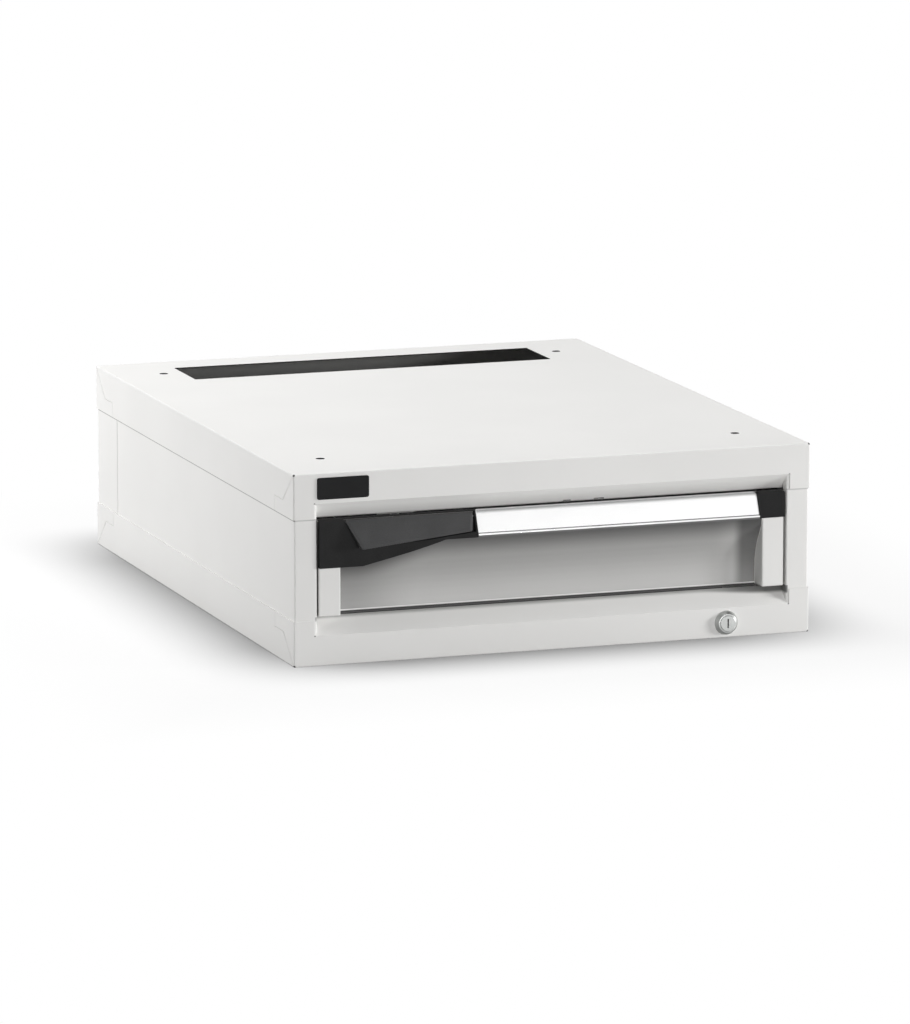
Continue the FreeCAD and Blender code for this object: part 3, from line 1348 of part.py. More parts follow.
SPRING_LEFT = f"({HOOK_X} + hook_width / 2 + hook_cheek + 2 * spring_gap)"
SPRING_RIGHT = f"({SPRING_LEFT} + spring_length)"
BARREL_LEFT = f"({LEVER_LEFT} + lever_wall)"
BARREL_RIGHT = f"({LEVER_RIGHT} - lever_wall)"
barrels = []
for start, end in (
    (BARREL_LEFT, f"{SPRING_LEFT} - spring_gap"),
    (f"{SPRING_RIGHT} + spring_gap", BARREL_RIGHT),
):
    barrels.append(rod("lever_barrel", "x", start, end, "lever_barrel", **PIN_AXIS))
    barrels.append(
        box(
            "lever_web",
            (start, end),
            (f"{lever_face_y('pivot_drop')} + lever_wall / 2", PIVOT_Y),
            (f"{PIVOT_Z} - lever_barrel / 3", f"{PIVOT_Z} + lever_barrel / 3"),
        )
    )
cheeks = box(
    "lever_cheeks",
    (f"{HOOK_X} - hook_width / 2 - hook_cheek", f"{HOOK_X} + hook_width / 2 + hook_cheek"),
    (PIVOT_Y, f"{PIVOT_Y} + hook_grip"),
    (f"{PIVOT_Z} - lever_barrel / 2", f"{PIVOT_Z} + lever_barrel / 2"),
)
hook_slot = box(
    "hook_slot",
    (f"{HOOK_X} - hook_width / 2 - hook_play", f"{HOOK_X} + hook_width / 2 + hook_play"),
    (f"{PIVOT_Y} + lever_barrel / 2 + hook_play", f"{PIVOT_Y} + hook_grip + 1"),
    (f"{PIVOT_Z} - lever_barrel", f"{PIVOT_Z} + lever_barrel"),
)
lever_bore = rod(
    "lever_bore", "x", LEVER_LEFT, LEVER_RIGHT, "pin_diameter + 2 * pin_play", **PIN_AXIS
)
HOOK_RIVET_Y = f"({PIVOT_Y} + hook_grip - hook_rivet_in)"
hook_rivet_hole = rod(
    "hook_rivet_hole",
    "x",
    f"{HOOK_X} - hook_width",
    f"{HOOK_X} + hook_width",
    "hook_rivet + 2 * hole_play",
    y=HOOK_RIVET_Y,
    z=PIVOT_Z,
)
lever_whole = fuse("lever_whole", lever_shell, *barrels, cheeks)
node("latch_lever", cut("latch_lever", lever_whole, hook_slot, lever_bore, hook_rivet_hole))

NOSE_FRONT = "(strip_run + strike_sheet + strike_gap)"
NOSE_BACK = f"({NOSE_FRONT} + hook_nose_depth)"
hook_form = prism(
    "hook_form",
    "YZ",
    [
        (f"{PIVOT_Y} + lever_barrel / 2 + 2 * hook_play", f"{PIVOT_Z} - hook_height / 2"),
        (NOSE_BACK, f"{PIVOT_Z} - hook_height / 2"),
        (NOSE_BACK, NOSE_TOP),
        (NOSE_FRONT, NOSE_TOP),
        (NOSE_FRONT, f"{PIVOT_Z} + hook_height / 2"),
        (f"{PIVOT_Y} + lever_barrel / 2 + 2 * hook_play", f"{PIVOT_Z} + hook_height / 2"),
    ],
    f"{HOOK_X} - hook_width / 2",
    f"{HOOK_X} + hook_width / 2",
)
node("latch_hook", cut("latch_hook", hook_form, hook_rivet_hole))
hook_pin = rod(
    "hook_pin",
    "x",
    f"{HOOK_X} - hook_width / 2 - hook_cheek",
    f"{HOOK_X} + hook_width / 2 + hook_cheek",
    "hook_rivet",
    y=HOOK_RIVET_Y,
    z=PIVOT_Z,
)
node("hook_rivet", group("hook_rivet", hook_pin))

pin_rod = rod("pin_rod", "x", PIN_START, PIN_END, "pin_diameter", **PIN_AXIS)
node("latch_pin", group("latch_pin", pin_rod))
spring_sleeve = rod("spring_sleeve", "x", SPRING_LEFT, SPRING_RIGHT, "lever_barrel", **PIN_AXIS)
spring_bore = rod(
    "spring_bore",
    "x",
    f"{SPRING_LEFT} - 1",
    f"{SPRING_RIGHT} + 1",
    "pin_diameter + 2 * pin_play",
    **PIN_AXIS,
)
node("latch_spring", cut("latch_spring", spring_sleeve, spring_bore))


# Every object is checked before a file is written

doc.recompute()
faults = [item.Name for item in doc.Objects if "Invalid" in item.State or "Error" in item.State]
for piece in nodes:
    if piece.Shape.isNull() or not piece.Shape.isValid() or not piece.Shape.Solids:
        faults.append(piece.Label)
if faults:
    raise RuntimeError("failed: " + ", ".join(faults))

os.makedirs("parts", exist_ok=True)
whole = FreeCAD.BoundBox()
for piece in nodes:
    piece.Shape.exportStep(os.path.join("parts", piece.Label + ".step"))
    whole.add(piece.Shape.BoundBox)
    print(f"{piece.Label:24s} solids {len(piece.Shape.Solids)} volume {piece.Shape.Volume:12.1f} mm3")
print(f"{len(nodes)} pieces, {whole.XLength:.1f} x {whole.YLength:.1f} x {whole.ZLength:.1f} mm")
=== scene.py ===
import math

import bmesh
import bpy
import numpy as np
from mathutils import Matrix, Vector


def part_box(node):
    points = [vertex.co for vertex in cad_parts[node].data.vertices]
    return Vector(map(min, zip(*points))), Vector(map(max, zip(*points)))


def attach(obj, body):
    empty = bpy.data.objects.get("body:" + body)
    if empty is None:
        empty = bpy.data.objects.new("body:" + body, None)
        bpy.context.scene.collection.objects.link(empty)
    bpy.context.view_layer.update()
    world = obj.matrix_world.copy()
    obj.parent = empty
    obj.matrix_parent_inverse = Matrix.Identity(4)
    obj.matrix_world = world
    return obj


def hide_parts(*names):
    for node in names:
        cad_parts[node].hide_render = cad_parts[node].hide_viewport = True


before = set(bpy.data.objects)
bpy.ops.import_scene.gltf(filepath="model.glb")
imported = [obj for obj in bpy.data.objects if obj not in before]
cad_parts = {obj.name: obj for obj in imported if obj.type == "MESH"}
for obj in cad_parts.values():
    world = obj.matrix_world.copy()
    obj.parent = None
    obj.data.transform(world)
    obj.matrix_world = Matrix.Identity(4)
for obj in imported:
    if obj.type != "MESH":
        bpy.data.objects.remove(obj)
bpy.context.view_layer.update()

# Shapes are drawn in millimetres from the housing's lower front left corner, as in the part's source:
# x runs to the right, y runs back and z runs up. A mesh is turned to metres when it is made.

CORNER = np.array([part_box("base_tray")[0][0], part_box("base_tray")[0][1], 0.0])


def span(node):
    """Lowest and highest corner of a CAD node, in millimetres from the housing's corner."""
    return [(np.array(corner) - CORNER) * 1000 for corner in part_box(node)]


WIDTH, DEPTH, HEIGHT = (float(size) for size in span("top_cover")[1])
FLANGE = 47.3
REAR_SEAM = (span("left_side_panel")[1][1] + span("rear_panel")[0][1]) / 2
SHARP = math.radians(38)


# Curves and surfaces

def miter(before, after):
    """The step from a corner that moves both of its sides by one along their normals."""
    return (before + after) / (1 + np.sum(before * after, -1, keepdims=True))


def left_of(step):
    """Unit normals to the left of steps in a plane."""
    step = step / np.linalg.norm(step, axis=-1, keepdims=True)
    return np.stack([-step[..., 1], step[..., 0]], -1)


def arcs(corners, before, after, radius, steps):
    """Rounds corners with an arc each. The arc's centre lies a radius from both sides, and its points go
    from the foot on the first side to the foot on the second as the normal turns between them."""
    turn = np.arctan2(before[:, 0] * after[:, 1] - before[:, 1] * after[:, 0], np.sum(before * after, -1))
    signed = np.where(turn < 0, -1.0, 1.0) * radius
    centre = corners + signed[:, None] * miter(before, after)
    angle = np.arctan2(before[:, 1], before[:, 0])[:, None] + turn[:, None] * np.linspace(0, 1, steps + 1)
    normal = np.stack([np.cos(angle), np.sin(angle)], -1)
    return centre[:, None] - signed[:, None, None] * normal, normal


def outline(corners, radius, inset=0.0, steps=5):
    """A closed polygon, its corners anticlockwise, with every side moved in by inset and every corner
    rounded: a corner's radius shrinks by inset, and at a hollow corner it grows."""
    corners = np.asarray(corners, float)
    after = left_of(np.roll(corners, -1, 0) - corners)
    before = np.roll(after, 1, 0)
    hollow = before[:, 0] * after[:, 1] < before[:, 1] * after[:, 0]
    radius = np.maximum(np.broadcast_to(radius, len(corners)) + np.where(hollow, inset, -inset), 0.03)
    points, _ = arcs(corners + inset * miter(before, after), before, after, radius, steps)
    return points.reshape(-1, 2)


def sheet_end(corners, thickness, bend, shy=0.0, steps=5):
    """A folded sheet seen end on. The corners run along its outer face and the sheet lies to their left.
    Its middle line is bent with arcs, and its two faces are half a thickness to either side. The cut
    edges are rounded, and shy draws the whole outline in."""
    corners = np.asarray(corners, float)
    normals = left_of(np.diff(corners, axis=0))
    middle = corners.copy()
    middle[0] += normals[0] * thickness / 2
    middle[-1] += normals[-1] * thickness / 2
    middle[1:-1] += miter(normals[:-1], normals[1:]) * thickness / 2
    ahead = np.stack([normals[:, 1], -normals[:, 0]], -1)
    arc, arc_normal = arcs(middle[1:-1], normals[:-1], normals[1:], np.subtract(bend, thickness / 2), steps)
    first = middle[0] + ahead[0] * (shy + BURR)
    last = middle[-1] - ahead[-1] * (shy + BURR)
    line = np.concatenate([first[None], arc.reshape(-1, 2), last[None]])
    normal = np.concatenate([normals[:1], arc_normal.reshape(-1, 2), normals[-1:]])
    half = thickness / 2 - shy
    tips = []
    for point, side, out in ((last, normals[-1], ahead[-1]), (first, normals[0], -ahead[0])):
        tips.append(np.stack([point + out * BURR + side * (half - BURR), point + out * BURR - side * (half - BURR)]))
    return np.concatenate([line + normal * half, tips[0], (line - normal * half)[::-1], tips[1][::-1]])


BURR = 0.2
PLANES = {"yz": (1, 2, 0), "xz": (0, 2, 1), "xy": (0, 1, 2)}


def placed(flat, plane, along):
    """Points of a plane, put in space at a distance along the third direction."""
    across, up, out = PLANES[plane]
    points = np.empty(flat.shape[:-1] + (3,))
    points[..., across], points[..., up], points[..., out] = flat[..., 0], flat[..., 1], along
    return points


def skin(loops, closed=False):
    """A surface through loops of points: each loop is joined to the next point by point. The first and
    the last loop get a face each, or are joined to each other."""
    loops = np.asarray(loops, float)
    rows, points = loops.shape[:2]
    row = np.arange(rows if closed else rows - 1)[:, None] * points
    here, there = np.arange(points), (np.arange(points) + 1) % points
    ahead = (row + points) % (rows * points)
    quads = np.stack([row + here, row + there, ahead + there, ahead + here], -1).reshape(-1, 4)
    caps = [] if closed else [np.arange(points)[::-1], np.arange(points) + (rows - 1) * points]
    return loops.reshape(-1, 3), [face.tolist() for face in (*quads, *caps)]


def folded(corners, thickness, bend, plane, start, end):
    """A folded sheet: its end view carried along a straight line, drawn in a little at both ends."""
    shy = sheet_end(corners, thickness, bend, BURR)
    full = sheet_end(corners, thickness, bend)
    stations = ((start, shy), (start + BURR, full), (end - BURR, full), (end, shy))
    return skin([placed(section, plane, along) for along, section in stations])


def bar(corners, radius, plane, start, end, edge=0.3, steps=4):
    """A rounded outline carried along a straight line, with a quarter round of its own at both ends."""
    turn = np.linspace(0, math.pi / 2, steps + 1)
    inset, along = edge * (1 - np.sin(turn)), edge * (1 - np.cos(turn))
    levels = [*zip(inset, start + along), *zip(inset[::-1], end - along[::-1])]
    return skin([placed(outline(corners, radius, i), plane, a) for i, a in levels])


def block(low, high, radius=0.5, edge=0.3):
    """A box between two corners, with every edge rounded."""
    (x0, y0, z0), (x1, y1, z1) = low, high
    return bar([(x0, y0), (x1, y0), (x1, y1), (x0, y1)], radius, "xy", z0, z1, edge)


def turned(profile, centre, axis, steps=48, closed=False):
    """A turned piece: each (radius, along) pair of the profile goes once round the axis as a circle."""
    profile = np.asarray(profile, float)
    angle = np.linspace(0, 2 * math.pi, steps, endpoint=False)
    ring = np.stack([np.cos(angle), np.sin(angle)], -1)
    plane = {"x": "yz", "y": "xz", "z": "xy"}[axis]
    across, up, out = PLANES[plane]
    flat = profile[:, :1, None] * ring[None] + np.array([centre[across], centre[up]])
    return skin(placed(flat, plane, centre[out] + profile[:, 1:]), closed)


def softened(profile, radius, steps=3):
    """A turned piece's profile with its inner corners rounded, for a run of (radius, along) corners."""
    profile = np.asarray(profile, float)
    normals = left_of(np.diff(profile, axis=0))
    points, _ = arcs(profile[1:-1], normals[:-1], normals[1:], np.broadcast_to(radius, len(profile) - 2), steps)
    return np.concatenate([profile[:1], points.reshape(-1, 2), profile[-1:]])


def moulded(corners, radius, levels, steps=5):
    """A moulded block in the front plane: at each level its outline is moved in by inset and lies at the
    depth given, which is a number or a function of x and z."""
    loops = []
    for inset, depth in levels:
        flat = outline(corners, radius, inset, steps)
        loops.append(placed(flat, "xz", depth(*flat.T) if callable(depth) else depth))
    return skin(loops)


def quarter(radius, front, steps=4):
    """Levels of a quarter round from the side of a block to its front face."""
    levels = []
    for turn in np.linspace(0, math.pi / 2, steps + 1):
        inset, back = radius * (1 - math.cos(turn)), radius * (1 - math.sin(turn))
        levels.append((inset, (lambda x, z, b=back: front(x, z) + b) if callable(front) else front + back))
    return levels


def mirrored(parts):
    """The same surfaces on the other side of the housing's middle."""
    return [(np.array([WIDTH, 0, 0]) + points * (-1, 1, 1), faces) for points, faces in parts]


def make(name, parts, body, slot, node, finish=None):
    """One object from surfaces in millimetres: in metres, with its normals outward, riding on a body and
    standing for a CAD node."""
    points = np.concatenate([part[0] for part in parts])
    starts = np.cumsum([0] + [len(part[0]) for part in parts])
    faces = [[start + i for i in face] for start, part in zip(starts, parts) for face in part[1]]
    mesh = bpy.data.meshes.new(name)
    mesh.from_pydata((points / 1000 + CORNER).tolist(), [], faces)
    work = bmesh.new()
    work.from_mesh(mesh)
    bmesh.ops.recalc_face_normals(work, faces=work.faces)
    return dressed(name, work, mesh, body, slot, node, finish)


def make_pair(name, parts, body, slot, node):
    """A piece on the left and its mirror image on the right. The names have {} where the side is."""
    for side, surfaces in (("left", parts), ("right", mirrored(parts))):
        make(name.format(side), surfaces, body.format(side), slot, node.format(side))


def dressed(name, work, mesh, body, slot, node, finish=None):
    """Ends a piece's shape, shades it smooth up to a sharp edge, links it, and gives it its body and its slot's
    finish or a finish of its own."""
    work.to_mesh(mesh)
    work.free()
    mesh.shade_smooth()
    mesh.set_sharp_from_angle(angle=SHARP)
    piece = bpy.data.objects.new(name, mesh)
    bpy.context.scene.collection.objects.link(piece)
    mesh.materials.clear()
    mesh.materials.append(finish or FINISHES[slot])
    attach(piece, body)
    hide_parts(node)
    normals = piece.modifiers.new("Even normals", "WEIGHTED_NORMAL")
    normals.keep_sharp = True
    return piece


def edged(node, body, slot, width=0.35, segments=2, refine=None):
    """A CAD node with softened edges: its copy is merged, its flat triangles become whole faces, refine
    may work on it, and a bevel rounds what stays sharp."""
    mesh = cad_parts[node].data.copy()
    work = bmesh.new()
    work.from_mesh(mesh)
    bmesh.ops.remove_doubles(work, verts=work.verts, dist=1e-6)
    bmesh.ops.dissolve_limit(work, angle_limit=math.radians(0.5), verts=work.verts, edges=work.edges)
    if refine:
        refine(work)
    piece = dressed(node + "_form", work, mesh, body, slot, node)
    soft = piece.modifiers.new("Edges", "BEVEL")
    soft.width, soft.segments, soft.limit_method, soft.angle_limit = width / 1000, segments, "ANGLE", SHARP
    piece.modifiers.move(1, 0)
    return piece


# Finishes

class Value:
    """A number socket of a material, so that shader maths reads as an expression."""

    def __init__(self, finish, socket):
        self.finish, self.socket = finish, socket

    def math(self, operation, *others):
        return self.finish.node("Math", {"operation": operation}, *others)

    def __add__(self, other):
        return self.math("ADD", self, other)

    def __sub__(self, other):
        return self.math("SUBTRACT", self, other)

    def __rsub__(self, other):
        return self.math("SUBTRACT", other, self)

    def __mul__(self, other):
        return self.math("MULTIPLY", self, other)

    def __abs__(self):
        return self.math("ABSOLUTE", self)

    __radd__, __rmul__ = __add__, __mul__

    def least(self, other):
        return self.math("MINIMUM", self, other)

    def most(self, other):
        return self.math("MAXIMUM", self, other)

    def rise(self, start, end):
        """Goes smoothly from 0 at start to 1 at end."""
        return self.finish.node("MapRange", {"interpolation_type": "SMOOTHSTEP"}, self, start, end)

    def fall(self, start, end):
        """Goes smoothly from 1 at start to 0 at end."""
        return 1 - self.rise(start, end)


class Finish:
    """A material: one shader, with constants on its sockets and patterns in front of them."""

    def __init__(self, name, **constants):
        self.material = bpy.data.materials.new(name)
        self.material.use_nodes = True
        self.nodes = self.material.node_tree.nodes
        self.shader = self.nodes["Principled BSDF"]
        for socket, value in constants.items():
            self.put(self.shader.inputs[socket.replace("_", " ")], value)

    def put(self, socket, value):
        """Sets a socket to a number or colour, or links it."""
        if isinstance(value, Value):
            self.material.node_tree.links.new(value.socket, socket)
        elif socket.type == "RGBA" and len(value) == 3:
            socket.default_value = (*value, 1.0)
        else:
            socket.default_value = value

    def node(self, kind, settings=None, *inputs, output=0, **named):
        """Adds any node: its settings first, then its sockets in order or by name."""
        new = self.nodes.new("ShaderNode" + kind)
        for name, value in (settings or {}).items():
            setattr(new, name, value)
        for socket, value in zip([s for s in new.inputs if s.enabled], inputs):
            self.put(socket, value)
        for name, value in named.items():
            self.put(next(s for s in new.inputs if s.enabled and s.name == name), value)
        outputs = [s for s in new.outputs if s.enabled]
        return Value(self, outputs[output])

    def place(self):
        """The point's own coordinates in metres."""
        return self.node("TexCoord", output=3)

    def split(self, vector):
        """The three parts of a vector."""
        parts = self.node("SeparateXYZ", None, vector).socket.node
        return [Value(self, parts.outputs[i]) for i in range(3)]

    def measure(self):
        """The point's coordinates in millimetres from the housing's corner."""
        return [(part - float(start)) * 1000 for part, start in zip(self.split(self.place()), CORNER)]

    def near(self, spots, reach):
        """One at any of some points and nought beyond reach millimetres of all of them. The points are
        given from the nearer side, from the front face and from the nearer of floor and top."""
        x, y, z = self.measure()
        folded = self.node("CombineXYZ", None, x.least(WIDTH - x), y, z.least(HEIGHT - z))
        gap = None
        for spot in spots:
            apart = self.node("VectorMath", {"operation": "DISTANCE"}, folded, spot, output=0)
            gap = apart if gap is None else gap.least(apart)
        return gap.fall(reach * 0.6, reach)

    def grain(self, size, stretch=(1, 1, 1), detail=2.0, roughness=0.5):
        """Noise whose cells are about size millimetres, longer where stretch is below one."""
        spot = self.node("Mapping", {"vector_type": "POINT"}, self.place(), Scale=stretch)
        return self.node("TexNoise", None, Vector=spot, Scale=1000 / size, Detail=detail, Roughness=roughness)

    def colour(self, share, low, high):
        """A colour between two, by share."""
        return self.node("Mix", {"data_type": "RGBA"}, share, low, high)

    def feed(self, **values):
        """Links patterns to the shader's sockets."""
        for socket, value in values.items():
            self.put(self.shader.inputs[socket.replace("_", " ")], value)
        return self

    def bump(self, height, distance, strength=1.0):
        """Raises the surface by height times a distance in millimetres."""
        raised = self.node("Bump", None, Height=height, Distance=distance / 1000, Strength=strength)
        self.put(self.shader.inputs["Normal"], raised)
        return self


def powder_coat(name, colour, roughness, shade_marks=None, glow=None):
    """Powder coated sheet: a fine orange peel, faint clouds of tone, and a slightly uneven gloss. Shade marks give a
    share of the surface painted near-black as shade, and glow a share painted near-white as light."""
    paint = Finish(name, Specular_IOR_Level=0.35)
    peel = paint.grain(1.6, detail=3)
    clouds = paint.grain(140, detail=2)
    tone = paint.colour(clouds.rise(0.3, 0.7), [c * 0.985 for c in colour], [min(1, c * 1.012) for c in colour])
    # Painted light: the glow mixes the tone towards near-white.
    if glow:
        tone = paint.colour(glow(paint), tone, (0.99, 0.985, 0.965))
    # Painted shade: the shade marks mix the tone towards near-black.
    if shade_marks:
        tone = paint.colour(shade_marks(paint), tone, (0.015, 0.015, 0.015))
    paint.feed(Base_Color=tone, Roughness=roughness + (peel - 0.5) * 0.12 + (clouds - 0.5) * 0.08)
    return paint.bump(peel, 0.05)


def housing_marks(paint):
    """Painted shade on the housing's coat: in the relief holes at the corners, on the cut edges in the top, in the
    seams under the covers and at the rear, at the foot of the upper strip and in its two notches, on the lower
    strip's top under the drawer, on the inner side of the rear panel, and at the edges at the floor and round the
    top."""
    x, y, z = paint.measure()
    across, _, up = facing = paint.split(paint.node("TexCoord", output=1))
    side, rear = x.least(WIDTH - x), DEPTH - y
    # Every mark here is painted shade; they gather into reliefs.
    reliefs = paint.near([(0.6, 0.6, 0.6), (0.6, DEPTH - 0.6, 0.6)], 1.9)
    strip_ends = paint.near([(22.8, 0.0, 31.5)], 1.1) * 0.7
    cut = side.rise(6, 7) * y.least(rear).rise(6, 7) * z.rise(HEIGHT - 2.5, HEIGHT - 2) * abs(up).fall(0.3, 0.6)
    # Painted shade on the inner side of the rear panel, stronger towards the right.
    dim = rear.fall(9, 10) * (0 - facing[1]).rise(0.5, 0.7) * (x * 0.00035 + 0.4513)

    set_back = 1 - side.fall(0.8, 1.0).most(y.fall(0.8, 1.0))
    foot = HEIGHT - FLANGE
    seam = set_back * z.rise(foot - 2.1, foot - 1.0) * z.fall(foot + 0.1, foot + 0.2)
    seam = seam * (y.fall(2, 3) * 0.35).most(side.fall(2, 3) * 0.7)
    rear_seam = set_back * abs(y - REAR_SEAM).fall(0.3, 0.8) * side.fall(2, 3) * 0.4

    strips = y.fall(19.6, 19.8) * side.rise(23.2, 23.6)
    lip = strips * y.rise(16.8, 17.2) * z.rise(145, 146)
    lip = lip * (1 - z.rise(150.2, 150.7) * 0.45 - z.rise(152.2, 152.7) * 0.55)
    notches = abs(x - 301).fall(4.0, 4.4).most(abs(x - 336.2).fall(5.2, 5.6))
    notches = notches * strips * z.rise(147.5, 148.0) * z.fall(153.2, 153.6)
    right = x.rise(442, 522)
    # Painted shadow on the lower strip's top under the drawer, stronger towards the right.
    under_drawer = strips * (z + right * 4).rise(45.0, 48.5) * z.fall(50.5, 51.0) * (0.55 + right * 0.25)

    # Painted shadow along the floor contact, and painted shade on the bend round the top.
    floor_edge = z.fall(1.0, 1.8) * side.fall(2, 3) * 0.6
    floor_turn = z.fall(2.0, 2.5) * up.rise(0.5, 0.7) * side.rise(2, 3) * 0.85
    top_bend = (abs(across) * abs(up)).rise(0.2, 0.45) * z.rise(190, 195) * 0.12
    for mark in (strip_ends, cut, dim, seam, rear_seam, lip, notches, under_drawer, floor_edge, floor_turn, top_bend):
        reliefs = reliefs.most(mark)
    return reliefs


def strip_tone(paint):
    """Painted light on the sloped strips behind the flanges, the upper one lightest at its foot."""
    x, y, z = paint.measure()
    strips = y.fall(18.0, 18.8) * x.least(WIDTH - x).rise(23.0, 23.5)
    upper = z.rise(150, 151) * (1 - z.rise(158, 168.5) * 0.5) * z.fall(168, 169)
    lower = z.rise(31, 32) * z.fall(50, 51) * 0.5
    return strips * upper.most(lower)


def front_marks(paint):
    """Painted shade on the drawer front: on the panel behind the handle, darkest under the handle and the latch
    housing, at its left end and beside the right post, in the gap below its hem, on the flange on top, and on the
    outer side of the left post."""
    low, high = span("drawer_front")
    case, grip = span("latch_housing")[0], span("handle_profile")[0]
    x, y, z = paint.measure()
    between = x.rise(low[0] + 24.3, low[0] + 24.7) * x.fall(high[0] - 24.7, high[0] - 24.3)
    under = z + x.fall(case[0] + 47, case[0] + 134) * ((grip[2] - case[2]) * 0.8)
    # kept is the share of the coat's tone that the painted shade leaves on the panel.
    kept = 0.12 + under.fall(99, 124) * 0.36 + z.fall(52, 99) * 0.19
    kept = kept * (0.56 + x.rise(low[0] + 20, low[0] + 120) * 0.44)
    # Painted shadow of the right post on the panel, in a band slanted along the shadow's direction.
    beside = x - (y - low[1]) * 0.34 - high[0]
    kept = kept * (1 + beside.rise(-80, -55) * 0.22)
    kept = kept * (1 - beside.rise(-57.5, -44.5) * (0.57 + z.rise(low[2], low[2] + 30) * 0.08))
    panel = between * (z.rise(low[2] + 2.2, low[2] + 2.6) * (1 - kept) + z.fall(low[2] + 0.9, low[2] + 1.3) * 0.93)
    # Painted shade on the top flange, seen through the gap over the handle.
    top = z.rise(high[2] - 0.4, high[2] - 0.2) * y.rise(low[1] + 2, low[1] + 7) * 0.95
    # Painted shade on the left post's outer side, seen in the gap by the stile.
    side = x.fall(low[0] + 0.6, low[0] + 0.8) * y.rise(low[1] + 1, low[1] + 2) * 0.6
    return panel.most(top).most(side)


def moulding(name, dark, light, roughness, texture=0.9):
    """Moulded plastic with an eroded grain, a little lighter and duller on the grain's tops."""
    plastic = Finish(name, Specular_IOR_Level=0.22, IOR=1.2)
    grain = plastic.grain(texture, detail=4, roughness=0.6)
    cloud = plastic.grain(24, detail=2)
    plastic.feed(
        Base_Color=plastic.colour((grain * 0.6 + cloud * 0.4).rise(0.3, 0.7), dark, light),
        Roughness=roughness + (grain - 0.5) * 0.18 + (cloud - 0.5) * 0.08,
    )
    return plastic.bump(grain, 0.06)


def metal(name, dark, light, roughness, size, stretch, height, shade_marks=None):
    """Bare metal: a directional or even grain in tone and gloss, over broad soft stains. Shade marks give a share
    painted near-black as shade."""
    bare = Finish(name, Metallic=1.0)
    grain = bare.grain(size, stretch, detail=3)
    stain = bare.grain(30, detail=2)
    tone = bare.colour((grain * 0.5 + stain * 0.5).rise(0.3, 0.7), dark, light)
    # Painted shade: the shade marks mix the tone towards near-black.
    if shade_marks:
        tone = bare.colour(shade_marks(bare), tone, (0.03, 0.03, 0.03))
    bare.feed(Base_Color=tone, Roughness=roughness + (grain - 0.5) * 0.14 + (stain - 0.5) * 0.10)
    return bare.bump(grain, height)


def handle_marks(bare):
    """Painted shade on the handle: in the groove under the label, on its edge above the label, and at its foot."""
    low, high = span("handle_profile")
    z = bare.measure()[2]
    foot, top = z - low[2], z - high[2]
    groove = foot.rise(3.5, 3.7) * foot.fall(4.5, 4.7) * 0.8
    return groove.most(foot.fall(1.8, 2.2) * 0.85).most(top.rise(-1.2, -0.8) * 0.5)


WHITE = (0.80, 0.795, 0.78)
# The housing's coat carries painted shade and painted light on its strips; the drawer front's coat and the handle's
# metal carry painted shade.
housing_paint = powder_coat("housing_paint_coat", WHITE, 0.42, housing_marks, strip_tone)
drawer_paint = powder_coat("drawer_paint_coat", WHITE, 0.42)
front_paint = powder_coat("drawer_front_coat", WHITE, 0.42, front_marks)
black = moulding("black_plastic_grain", (0.017, 0.017, 0.0172), (0.026, 0.026, 0.0262), 0.46)
lever_grey = moulding("lever_plastic_grain", (0.064, 0.064, 0.065), (0.082, 0.082, 0.083), 0.44)
badge_black = moulding("badge_plastic_grain", (0.013, 0.0132, 0.0137), (0.018, 0.0183, 0.0188), 0.34, 0.5)
handle_metal = metal("handle_anodised", (0.84, 0.84, 0.84), (0.93, 0.93, 0.93), 0.30, 0.5, (0.02, 1, 1), 0.002,
                     handle_marks)
lock_metal = metal("lock_plated", (0.40, 0.41, 0.40), (0.51, 0.52, 0.51), 0.34, 0.6, (1, 1, 1), 0.01)
roller_nylon = moulding("roller_nylon", (0.62, 0.61, 0.56), (0.70, 0.69, 0.64), 0.38, 1.2)
rubber = moulding("buffer_rubber_moulded", (0.012, 0.012, 0.012), (0.022, 0.022, 0.021), 0.70, 0.7)

zinc = Finish("zinc_steel_plated", Metallic=1.0)
cells = zinc.node("TexVoronoi", None, Vector=zinc.place(), Scale=260.0, output=1)
flake = zinc.node("RGBToBW", None, cells)
film = zinc.grain(9, detail=3)
zinc.feed(
    Base_Color=zinc.colour((flake * 0.6 + film * 0.4).rise(0.2, 0.8), (0.46, 0.47, 0.49), (0.62, 0.63, 0.65)),
    Roughness=0.34 + (flake - 0.5) * 0.10 + (film - 0.5) * 0.16,
).bump(film, 0.02)

# The label paper glows a little as painted light, and its top edge darkens under a painted shadow, which also takes
# away its glow.
paper = Finish("label_paper_fibre", Specular_IOR_Level=0.2, Emission_Strength=0.20)
fibre = paper.grain(0.7, (0.4, 1, 1), detail=4)
label_edge = span("label_strip")[1][2]
painted_top_shadow = paper.measure()[2].rise(label_edge - 2.6, label_edge + 1.2) * 0.75
card = paper.colour(fibre.rise(0.3, 0.7), (0.925, 0.925, 0.925), (0.95, 0.95, 0.95))
paper.feed(
    Base_Color=paper.colour(painted_top_shadow, card, (0.02, 0.02, 0.02)),
    Emission_Color=paper.colour(painted_top_shadow, (1, 1, 1), (0, 0, 0)),
    Roughness=0.78 + (fibre - 0.5) * 0.1,
).bump(fibre, 0.02)

clear = Finish("label_clear_cover", Base_Color=(0.96, 0.96, 0.96), IOR=1.46)
ripple = clear.grain(18, (0.3, 1, 1), detail=2)
clear.feed(Alpha=0.10 + (ripple - 0.5) * 0.03, Roughness=0.10 + (ripple - 0.5) * 0.06).bump(ripple, 0.02)
clear.material.surface_render_method = "BLENDED"

